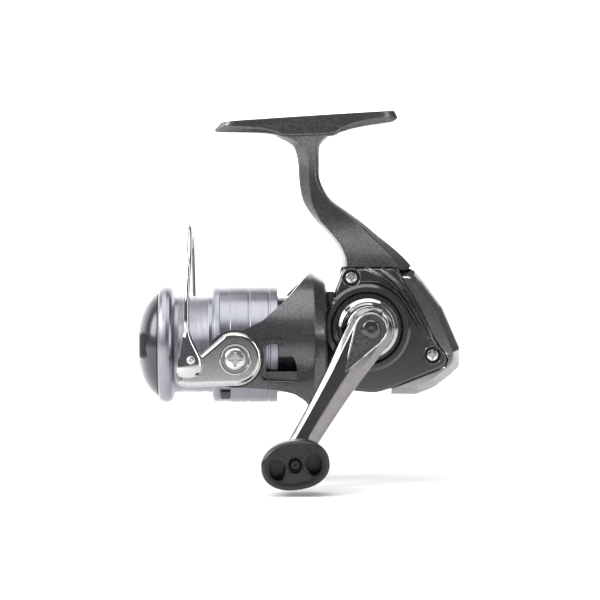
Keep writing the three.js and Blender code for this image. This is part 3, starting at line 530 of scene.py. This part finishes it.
def ridge(name, rows):
    """A sharp-crested ridge that stands on the side cover along a curve."""
    rows = [row[0] for row in smooth_rings([[row] for row in rows], 16)]
    rings = []
    for i, (x, z, width, height) in enumerate(rows):
        a, b = Vector(rows[max(i - 1, 0)][:2]), Vector(rows[min(i + 1, len(rows) - 1)][:2])
        run = (b - a).normalized()
        side = Vector((-run.y, run.x)) * width / 2
        rings.append([(x + side.x, -12.45, z + side.y), (x + side.x * 0.15, -12.5 - height,
            z + side.y * 0.15),
                      (x - side.x, -12.45, z - side.y), (x - side.x, -12.2, z - side.y),
                      (x + side.x, -12.2, z + side.y)])
    return skin("ridge_" + name, rings)


for ridge_name, ridge_rows in RIDGES.items():
    piece(ridge(ridge_name, ridge_rows), "dark_chrome", "body", "side_cover", angle=55)
for spot_name, spot in SCREWS.items():
    piece(lathe("screw_rim_" + spot_name, [(-12.3, 2.95), (-12.3, 3.35), (-12.7, 3.3), (-12.8,
        3.12),
                                           (-12.7, 2.95)], "y", spot, 48, corner=0),
          "gloss_graphite", "body", "side_cover")
    piece(lathe("screw_well_" + spot_name, [(-12.2, 2.88), (-12.2, 2.6), (-11.4, 2.45), (-10.95,
        2.45),
                                            (-10.95, 2.88)], "y", spot, 48, corner=0),
          "black_plastic", "body", "side_cover")


def rear_cover():
    layers = [(-11.8, 3.2), (-11.3, 2.6), (-8.2, 0.5), (-7.2, 0.1), (-5, 0), (6, 0), (8.4, 0.3),
        (12.4, 2.4),
              (12.8, 3.0)]
    cover = stack("rear_shell", [(y, rounded(inset(OUTER, d), 1.0, 4)) for y, d in layers])
    tools = [
        slab("cutter", inset(CASE, -0.3), -20, 20),
        slab("cutter", [(-20, -30), (8.6, -30), (8.6, 0), (-20, 0)], -20, 20),
        slab("cutter", [(-20, 0), (10, 0), (10.4, 40), (-20, 40)], -20, 20),
        disc_y("cutter", 10.6, 30, 1.9, REAR_SCREW, 48),
    ]
    return bevel(cut(cover, *tools), 0.25, 2, 35)


piece(rear_cover(), "dark_chrome", "body", "rear_cover", angle=24, look="rear_chrome")


def screw_y(name, spot, seat, head, body, node, side=-1, shank=0.8, tip=4):
    """A pan-head cross-slot screw along Y whose head stands on `seat`."""
    top = seat + side * head * 0.5
    made = lathe(name, [(seat - side * tip, AXIS_R), (seat - side * tip, shank), (seat, shank),
                        (seat, head), (seat + side * head * 0.22, head * 0.99),
                        (seat + side * head * 0.42, head * 0.8), (top, head * 0.45), (top, AXIS_R)],
                 "y", spot, 64, corner=0.12)
    slot, reach = head * 0.14, head * 0.62
    deep = sorted((top + side * 1, top - side * head * 0.4))
    for wide, high in ((slot, reach), (reach, slot)):
        x, z = spot
        tool = slab("cutter", [(x - wide, z - high), (x + wide, z - high), (x + wide, z + high),
                          (x - wide, z + high)], *deep)
        made = cut(made, tool)
    return piece(made, "steel", body, node)


for spot_name, spot in SCREWS.items():
    screw_y("case_screw_" + spot_name, spot, -11.1, 2.3, "body", "cover_screw_" + spot_name)
screw_y("rear_screw", REAR_SCREW, 10.85, 1.7, "body", "rear_cover_screw", 1)

# ---- the crank: hub, arm and knob --------------------------------------------------------------
ARM_SIDE = Vector((-ARM_DIRECTION.y, ARM_DIRECTION.x))


def on_arm(along, across):
    return (ARM_DIRECTION.x * along + ARM_SIDE.x * across,
            CRANK_Z + ARM_DIRECTION.y * along + ARM_SIDE.y * across)


ARM_WIDTHS = [(0, 7.6, 7.4), (8, 7.1, 6.9), (18, 5.9, 5.7), (30, 5.1, 4.9), (42, 4.6, 4.5), (50,
    4.5, 4.4)]
ARM_FACES = [(-8, -29, -33.6), (0, -29, -34.6), (8, -29.4, -35.6), (18, -30.3, -36.2),
             (30, -31.7, -36.6), (42, -33, -37.1), (50, -33.5, -37.3), (54.5, -33.6, -37.2)]


def handle_arm():
    stations = [-7.45 + 7.45 * (1 - math.cos(math.pi / 2 * i / 8)) for i in range(8)]
    stations += [i * 50 / 26 for i in range(27)]
    stations += [50 + 4.35 * math.sin(math.pi / 2 * i / 7) for i in range(1, 8)]
    rings = []
    for s in stations:
        rear, front = graph(ARM_WIDTHS, s)
        inner, outer = graph(ARM_FACES, s)
        if s < 0:
            shrink = max(0.12, math.sqrt(max(0, 1 - (s / 7.55) ** 2)))
        elif s > 50:
            shrink = max(0.12, math.sqrt(max(0, 1 - ((s - 50) / 4.4) ** 2)))
        else:
            shrink = 1
        rear, front = rear * shrink, front * shrink
        ease = 1 - (1 - shrink) ** 2 * 0.35
        middle = (inner + outer) / 2
        inner, outer = middle + (inner - middle) * ease, middle + (outer - middle) * ease
        corners = [
            (rear * 0.8, inner), (rear, inner - 1.4 * ease), (rear * 0.99, outer + 2 * ease),
            (rear * 0.7, outer + 0.35), (0.12 * rear, outer - 0.25), (-front * 0.7, outer + 0.35),
            (-front * 0.99, outer + 2 * ease), (-front, inner - 1.4 * ease), (-front * 0.8, inner),
        ]
        ring = []
        for across, y in rounded(corners, 0.5, 3):
            x, z = on_arm(s, across)
            ring.append((x, y, z))
        rings.append(ring)
    return skin("crank_arm", rings)


def teardrop(r, tip, steps=20):
    """The badge recess's outline: a round end on the crank axis, drawn out to a point on the arm."""
    spread = math.degrees(math.acos(r / tip))
    base = math.degrees(math.atan2(ARM_DIRECTION.y, ARM_DIRECTION.x))
    points = arc((0, CRANK_Z), r, base + spread, base + 360 - spread, steps)
    return rounded(points + [on_arm(tip, 0)], 0.5, 3)


arm = handle_arm()
arm = cut(arm, slab("cutter", teardrop(5.1, 16.9), -40, -34.3), disc_y("cutter", -30, -20, 3.4, (0,
    CRANK_Z)))
piece(arm, "dark_chrome", "crank", "handle_arm", angle=28)
rim = [(x, -34.75 - 0.055 * math.hypot(x, z - CRANK_Z) - 0.1, z) for x, z in teardrop(5.25, 17.4,
    40)]
piece(line("badge_rim", rim, 0.34, closed=True, resolution=5), "chrome_plate", "crank",
    "handle_arm")
piece(slab("badge_floor", teardrop(5.15, 17.0), -34.2, -34.55), "graphite_paint", "crank",
    "handle_arm")
piece(lathe("crank_hub", [(-16.4, 6.6), (-17.6, 9.9), (-20.2, 10.3), (-21.4, 8.8), (-25, 8.2),
                          (-28.9, 7.6), (-28.9, 3.4), (-16.4,
                              3.4)], "y", (0, CRANK_Z), 128, corner=0.5),
      "chrome_plate", "crank", "handle_hub", angle=30)
piece(lathe("crank_bolt", [(-23, AXIS_R), (-23, 1.2), (-34.4, 1.2), (-34.4, 3.3), (-35.2, 3.3),
                           (-35.7, 2.6), (-35.9, 1.6), (-35.9, AXIS_R)], "y", (0, CRANK_Z), 64,
            corner=0.3), "gloss_graphite", "crank", "handle_bolt")
cap = lathe("far_cap", [(15.5, 1), (15.5, 6.8), (16.9, 6.8), (17.9, 5.6), (17.9, AXIS_R), (6,
    AXIS_R),
                        (6, 1)], "y", (0, CRANK_Z), 96, corner=0.4)
cap = cut(cap, slab("cutter", [(-4.8, CRANK_Z - 0.6), (4.8, CRANK_Z - 0.6), (4.8, CRANK_Z + 0.6),
                          (-4.8, CRANK_Z + 0.6)], 17.1, 40))
piece(cap, "gloss_graphite", "crank", "handle_screw_cap")
piece(lathe("knob_post", [(-32.2, AXIS_R), (-32.2, 1.15), (-37.4, 1.15), (-37.4, 2.7), (-38.6, 2.7),
                          (-38.6, 1.6), (-58.4, 1.6), (-58.4, AXIS_R)], "y", KNOB, 64),
      "steel", "crank", "knob_spindle")
piece(lathe("knob_cap_screw", [(-57, AXIS_R), (-57, 0.6), (-58.7, 0.6), (-58.7, 2.1), (-59.5, 2.0),
                               (-60.0, 1.3), (-60.0, 0.5), (-59.2, 0.45), (-59.2,
                                   AXIS_R)], "y", KNOB, 64,
            corner=0.15), "black_plastic", "crank", "knob_screw")

KNOB_ROWS = [  # y, half-length, half-width
    (-39, 3.6, 3.6), (-40, 4.2, 4.2), (-43, 4.5, 4.4), (-45.2, 7.4, 5.9), (-47.5, 10, 7.3),
    (-52, 10.9, 7.7), (-60, 11, 7.85), (-62.4, 10.95, 7.8), (-63.15, 10.6, 7.5), (-63.5, 10.0, 7.0),
]
TILT = math.radians(8)


def on_knob(u, v):
    return (KNOB[0] + u * math.cos(TILT) - v * math.sin(TILT),
            KNOB[1] + u * math.sin(TILT) + v * math.cos(TILT))


def oval(long, short, sides=72, power=2.25):
    points = []
    for i in range(sides):
        c, s = math.cos(2 * math.pi * i / sides), math.sin(2 * math.pi * i / sides)
        points.append(on_knob(long * math.copysign(abs(c) ** (2 / power), c),
                              short * math.copysign(abs(s) ** (2 / power), s)))
    return points


def knob():
    rings = [[(x, y, z) for x, z in oval(long, short)] for y, long, short in KNOB_ROWS]
    made = skin("knob_grip", smooth_rings(rings, 4))
    tools = [slab("cutter", oval(9.3, 6.4), -70, -62.6), slab("cutter", oval(8.8, 5.9), -70, -61.6)]
    for side in (1, -1):
        shape = [(2.9 * side, 0), (3.8 * side, -2.6), (5.4 * side, -4.4), (7.4 * side, -3.6),
                 (8.5 * side, -1.4), (8.5 * side, 1.2), (7.2 * side, 3.0), (4.4 * side, 2.6)]
        tools.append(slab("cutter", rounded([on_knob(*p) for p in shape], 0.9, 4), -70, -51))
    tools += [disc_y("cutter", -70, -38, 1.8, KNOB), disc_y("cutter", -70, -58.4, 2.6, KNOB)]
    return bevel(cut(made, *tools), 0.22, 2, 35)


piece(knob(), "grip_plastic", "knob", "handle_knob", angle=32)
for number, (su, sv) in enumerate(((1, 1), (1, -1), (-1, 1), (-1, -1))):
    ends = [on_knob(1.9 * su, 1.9 * sv), on_knob(3.2 * su, 2.7 * sv), on_knob(5.2 * su, 4.5 * sv)]
    piece(line("knob_web_%d" % number, [(x, -61.6, z) for x, z in ends], 0.2, resolution=4),
          "grip_plastic", "knob", "handle_knob")
piece(lathe("knob_eye", pipe(-61.9, -59.0, 3.1, 2.55), "y", KNOB, 64, corner=0.2), "grip_plastic",
    "knob",
      "handle_knob")

# ---- the rotor ---------------------------------------------------------------------------------
ROTOR_SIDE = [
    (-13, 27), (-18.1, 26), (-28.1, 15), (-35.4, 8.6), *arc(PIVOT, 9.7, 75, 270, 30),
    (-30.8, -14.9), (-24.8, -16.4), (-21.7, -18.4), (-19.6, -20.4), (-18.6, -27), (-13, -27),
]
WINDOW = [(-34.4, -12.1), (-23.6, -12.6), (-24.2, -6.2), (-26, -2), (-28.2, 0), (-31.2, 0.7),
    (-34.4, 0.7)]


def rotor_shell():
    shell = lathe("rotor_shell", [
        (-13.7, 15.2), (-13.7, 21.2), (-14.6, 22.6), (-18.1, 24.8), (-31, 25.3), (-60, 25.3),
        (-60, 20.9), (-16.6, 20.9), (-16.6, 15.2)], segments=160, corner=0.3)
    outline = rounded(ROTOR_SIDE, 0.8, 3)
    shell = cut(shell, slab("cutter", outline, -30, 30), operation="INTERSECT")
    shell = join(shell, disc_y("cutter", -26, -21.6, 9.7, PIVOT, 96), disc_y("cutter", 21.6, 26,
        9.7, PIVOT, 96))
    window = rounded(WINDOW, 1.3, 4)
    shell = cut(shell, slab("cutter", window, -30, -19), slab("cutter", window, 19, 30),
                disc_y("cutter", -30, -23.4, 5.6, PIVOT, 64), disc_y("cutter", 25.2, 30, 4, PIVOT,
                    64))
    sunk = rounded([(-36, -11.6), (-22.2, -11.9), (-22.7, -5.2), (-24.8, 0.1), (-27.6, 2.4), (-31,
        3), (-36, 3)], 1.6, 4)
    band = cut(lathe("cutter", pipe(-40, -20, 30, 24.4), segments=160, corner=0),
               join(slab("cutter", sunk, -40, -5), slab("cutter", sunk, 5,
                   40)), operation="INTERSECT")
    return bevel(cut(shell, band), 0.4, 3, 32)


piece(rotor_shell(), "graphite_paint", "rotor", "rotor", angle=34)
piece(lathe("rotor_cup", [(-13.7, 15.2), (-13.7, 17), (-16.6, 16.6), (-44, 16.6), (-44, 15), (-41.4,
    14.4),
                          (-41.4, 3.3), (-28.6, 3.3), (-28.6, 5), (-38.8, 6), (-39, 15.2)],
            segments=128, corner=0.4), "gloss_graphite", "rotor", "rotor")
for side, root in ((-1, -23), (1, 25)):
    ends = sorted((side * 27.5, root))
    piece(lathe("pivot_post_near" if side < 0 else "pivot_post_far", pipe(*ends, 2.2, 0.9), "y",
        PIVOT, 48,
                corner=0.15), "graphite_paint", "rotor", "rotor")

for side_name, side in (("near", -1), ("far", 1)):
    sill = [(x, side * math.sqrt(24.7 ** 2 - z ** 2), z) for x, z in ((-34.6, -11.9), (-29, -12.1),
        (-23.4, -12.4))]
    piece(line("window_sill_" + side_name, sill, 0.3, resolution=4), "dark_chrome", "rotor",
        "rotor")
# painted shade: a black ring on the rotor pad around the bail lever's disc stands in for the shade in
# the gap there
piece(lathe("pivot_painted_shade_ring", pipe(-26.06, -25.6, 9.55, 5.7), "y", PIVOT, 96, corner=0),
    "black_plastic",
      "rotor", "rotor")

# ---- the bail ----------------------------------------------------------------------------------
LEVER = [
    *arc(PIVOT, 9, -95, 116, 40), (-54, -0.6), (-57.5, -3.6), (-61.5, -5), (-64.3, -7), (-64.4,
        -12.6),
    (-61, -13.7),
]


def bail_lever():
    outline = rounded(LEVER, 0.9, 4)
    lever = stack("bail_lever", [(-26.3, inset(outline, 0.3)), (-26.6, outline), (-27.2, outline),
                                 *[(-27.2 - 1.7 * math.sin(a), inset(outline,
                                     1.9 * (1 - math.cos(a))))
                                   for a in (0.25, 0.5, 0.75, 1.0, 1.25, 1.5)]])
    return cut(lever, disc_y("cutter", -40, -20, 2.5, PIVOT), disc_y("cutter", -40, -27.5, 4.4,
        PIVOT, 96),
               disc_y("cutter", -40, -22.9, 3.5, ROLLER))


piece(bail_lever(), "chrome_plate", "bail", "bail_arm", angle=30)
web = [(-61, -13.6), (-57, -13.4), (-60.4, -9.6), (-64.4, -8.2), (-64.4, -12.4)]
piece(bevel(slab("bail_web", rounded(web, 0.8, 3), -28.4, -21.3), 0.4), "chrome_plate", "bail",
    "bail_arm")
flange = [(-60.6, -12.8), (-58, -9), (-57.6, -5), (-62.6, -4), (-64.2, -11.6)]
piece(bevel(slab("bail_flange", rounded(flange, 0.8, 3), -22.6, -21.3), 0.25), "chrome_plate",
    "bail",
      "bail_arm")
piece(lathe("roller_ear", pipe(-22.6, -21.3, 2.9, 0.85), "y", ROLLER, 64), "chrome_plate", "bail",
      "bail_arm")
piece(lathe("pivot_rim", [(-28.2, 4.4), (-28.2, 5.6), (-28.85, 5.4), (-29.0, 4.9), (-28.85, 4.45)],
    "y",
            PIVOT, 96, corner=0.1), "chrome_plate", "bail", "bail_arm")

WIRE = [
    (-60.7, -28.9, 3.6), (-61, -29.3, 9), (-60.8, -28.5, 18), (-60.2, -25.2, 29), (-60, -17.6,
        37.6),
    (-60, -6, 42.2), (-60, 6, 42.2), (-59.7, 17.6, 37.6), (-59.4, 25.2, 29), (-59.2, 28.1, 18),
    (-58.9, 28, 9), (-58.6, 27.5, 5),
]
piece(line("bail_hoop", WIRE, 0.9, steps=10, resolution=9), "chrome_plate", "bail", "bail_wire")
CONE = [(-10.5, 2.2, 1.0, -60.4), (-9.6, 3.6, 1.7, -60.1), (-7.5, 4.3, 2.0, -59.9), (-4.5, 4.2, 2.0,
    -59.8),
        (-1.5, 3.2, 1.9, -60.1), (1.5, 2.1, 1.7, -60.6), (3.6, 1.5, 1.4, -60.9), (4.6, 1.1, 1.1,
            -60.9)]
cone = [[(x + wide * math.cos(k * math.pi / 24), -28.9 + deep * math.sin(k * math.pi / 24), z)
         for k in range(48)] for z, wide, deep, x in CONE]
cone_piece = cut(skin("wire_cone", smooth_rings(cone, 6)), disc_y("cutter", -40, -20, 0.85, ROLLER,
    32))
piece(cone_piece, "chrome_plate", "bail", "bail_wire", angle=50)

HOLDER = [*arc(PIVOT, 7.4, -80, 110, 32), (-50, 4.6), (-57.6, 8.4), (-60.4, 7.6), (-60.6, 3), (-54,
    -6)]
outline = rounded(HOLDER, 1.0, 4)
holder = stack("bail_holder_arm", [(26.3, inset(outline, 0.3)), (26.6, outline), (28.1, outline),
                                   (28.7, inset(outline, 0.35)), (28.9, inset(outline, 0.8))])
holder = cut(holder, disc_y("cutter", 20, 40, 2.5, PIVOT), disc_y("cutter", 27.5, 40, 3.5, PIVOT,
    96))
piece(holder, "gloss_graphite", "bail", "bail_holder", angle=30)

screw_y("pivot_screw_near", PIVOT, -27.8, 3.9, "rotor", "bail_pivot_screw_near", tip=4.4)
screw_y("pivot_screw_far", PIVOT, 27.8, 3.1, "rotor", "bail_pivot_screw_far", 1, tip=4.4)
piece(lathe("line_roller_ring", [(-23.2, 1.6), (-23.2, 3.2), (-24, 3.1), (-24.8, 2.5), (-25.6, 2.6),
                                 (-26.3, 3.1), (-26.9, 3.2), (-26.9,
                                     1.6)], "y", ROLLER, 96, corner=0.3),
      "chrome_plate", "line_roller", "line_roller")
piece(lathe("roller_sleeve", pipe(-27.1, -22.9, 1.35, 0.85), "y", ROLLER, 48), "brass", "bail",
      "roller_bush")
piece(lathe("roller_rivet", [(-21.5, AXIS_R), (-21.5, 0.62), (-30.6, 0.62), (-30.6, 1.5), (-31.0,
    1.3),
                             (-31.2, 0.8), (-31.2, AXIS_R)], "y", ROLLER, 48, corner=0.1),
      "steel", "bail", "roller_pin")
coil = [(PIVOT[0] + 3.9 * math.cos(i / 16 * math.pi), -23.9 - i * 0.0208,
    PIVOT[1] + 3.9 * math.sin(i / 16 * math.pi))
        for i in range(81)]
piece(line("pivot_spring", coil, 0.3, steps=1, resolution=4), "steel", "rotor", "bail_spring")

# ---- the spool and its drag ------------------------------------------------------------------------
groove = [(x / 10, 16.6 if x % 4 else 16.45) for x in range(-640, -536, 2)]
SPOOL = [
    (-69.4, 8.5), (-69.4, 16.7), (-70.6, 17.3), (-70.9, 18.3), (-70.4, 19.2), (-69.4, 19.8), (-68.2,
        20),
    (-67.0, 19.8), (-66.2, 19.3), (-65.3, 17.8), (-65.3, 16.6), *groove, (-52.4, 16.6), (-52.4,
        18.8),
    (-51.6, 19.7), (-50.0, 20), (-49.9, 19.75), (-46.4, 19.75), (-46.3, 20), (-40.4, 20), (-40.3,
        19.8),
    (-39.7, 19.8), (-39.6, 20), (-33.6, 20), (-33.5, 19.75), (-32.9, 19.75), (-32.8, 20), (-30.4,
        20),
    (-30.2, 19.8), (-30.2, 18.7), (-50.6, 18.7), (-51, 15.2), (-58.8, 15.2), (-59.2, 4.2), (-52.7,
        4.2),
    (-52.7, 1.7), (-62.8, 1.7), (-62.8, 8.5),
]
spool = lathe("spool_body", SPOOL, segments=192, corner=0.1)
piece(spool, "turned_aluminium", "spool", "spool", angle=30)


def line_clip():
    rings = []
    for x, r in ((-49.6, 19.6), (-49.6, 20.3), (-49.3, 20.45), (-46.6, 20.45), (-46.3, 20.3),
        (-46.3, 19.6)):
        rings.append([(x, r * math.cos(math.radians(a)), r * math.sin(math.radians(a)))
                      for a in range(-129, -114, 2)])
    inner = [[p for p in ring] for ring in rings]
    return skin("line_hook", [list(col) for col in zip(*inner)])


piece(bevel(line_clip(), 0.12, 2), "black_plastic", "spool", "line_clip")

DOME_LONG, DOME_WIDE, APEX = 10.3, 18.7, -78.4
dome = [(APEX + 7.1 * (i / 16) ** 2,
    DOME_WIDE * math.sqrt(1 - (1 - 7.1 * (i / 16) ** 2 / DOME_LONG) ** 2))
        for i in range(17)]
knob_profile = [(a, max(r, AXIS_R)) for a, r in dome] + [
    (-70.9, 17.6), (-71.0, 16.6), (-72.4, 15.6), (-74.6, 11.6), (-75.6, 7.4), (-71, 7.2), (-71,
        5), (-73.8, 5),
    (-73.8, 1.7), (-76.6, 1.7), (-76.6, AXIS_R)]
piece(lathe("drag_dome", knob_profile, segments=160, corner=0), "knob_lacquer", "drag_knob",
    "drag_knob",
      angle=30)

grip = slab("drag_grip", rounded([(-77.2, -4.6), (-72, -4.6), (-72, 4.6), (-77.2, 4.6)], 1.4, 6),
    -13.4, 13.4)
piece(bevel(grip, 1.3, 6), "knob_lacquer", "drag_knob", "drag_knob")

for node_name, node in frame["nodes"].items():
    if not node.hide_render:
        node.data.polygons.foreach_set("use_smooth", [True] * len(node.data.polygons))
        node.data.set_sharp_from_angle(angle=math.radians(32))


# ---- studio ------------------------------------------------------------------------------------
def backdrop():
    """A pale floor that curves up into a wall behind the reel."""
    low, near, far, high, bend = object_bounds()[0].z - 0.002, -1.6, 1.9, 2.2, 0.5
    path = [(near, low), (far - bend, low)]
    path += [(far - bend + bend * math.sin(a * math.pi / 24),
        low + bend - bend * math.cos(a * math.pi / 24))
             for a in range(1, 13)]
    path.append((far, high))
    mesh = bpy.data.meshes.new("backdrop")
    points = [(x, y, z) for y, z in path for x in (-3.0, 3.0)]
    mesh.from_pydata(points, [], [(2 * i, 2 * i + 1, 2 * i + 3,
        2 * i + 2) for i in range(len(path) - 1)])
    made = bpy.data.objects.new("backdrop", mesh)
    bpy.context.scene.collection.objects.link(made)
    mesh.polygons.foreach_set("use_smooth", [True] * len(mesh.polygons))
    paper = bpy.data.materials.new("paper")
    paper.use_nodes = True
    shader = paper.node_tree.nodes["Principled BSDF"]
    shader.inputs["Base Color"].default_value = (0.92, 0.92, 0.92, 1)
    shader.inputs["Roughness"].default_value = 0.9
    shader.inputs["Emission Color"].default_value = (1, 1, 1, 1)
    # the wall glows, the floor in front of the reel doesn't, so that faces towards -Y stay dark
    nodes, links = paper.node_tree.nodes, paper.node_tree.links
    place, split = nodes.new("ShaderNodeNewGeometry"), nodes.new("ShaderNodeSeparateXYZ")
    fade = nodes.new("ShaderNodeMapRange")
    fade.inputs["From Min"].default_value, fade.inputs["From Max"].default_value = 0.05, 0.6
    fade.inputs["To Min"].default_value, fade.inputs["To Max"].default_value = 0.05, 1.0
    links.new(place.outputs["Position"], split.inputs["Vector"])
    links.new(split.outputs["Y"], fade.inputs["Value"])
    links.new(fade.outputs["Result"], shader.inputs["Emission Strength"])
    mesh.materials.append(paper)
    made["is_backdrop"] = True


def softbox(name, place, aim, wide, high, power):
    data = bpy.data.lights.new(name, "AREA")
    data.shape = "RECTANGLE"
    data.size, data.size_y, data.energy = wide, high, power
    made = bpy.data.objects.new(name, data)
    made.location = place
    made.rotation_mode = "QUATERNION"
    made.rotation_quaternion = (Vector(aim) - Vector(place)).to_track_quat("-Z", "Y")
    bpy.context.scene.collection.objects.link(made)


backdrop()
middle = at(-22, 0, 15)
softbox("top", (-0.1, -0.1, 0.65), middle, 1.2, 0.7, 6)
softbox("key", (-0.55, -0.55, 0.35), middle, 0.3, 0.5, 5)
softbox("right", (0.6, -0.45, 0.15), middle, 0.16, 0.6, 1.6)
softbox("left", (-0.8, -0.05, 0.3), middle, 0.35, 0.45, 4)
softbox("wall", (0, 0.9, 0.9), (0, 1.9, 0.3), 1.6, 0.6, 14)
world = bpy.data.worlds.new("room")
world.use_nodes = True
world.node_tree.nodes["Background"].inputs["Color"].default_value = (0.9, 0.93, 1.0, 1)
world.node_tree.nodes["Background"].inputs["Strength"].default_value = 0.17
bpy.context.scene.world = world
bpy.context.scene.view_settings.view_transform = "Standard"
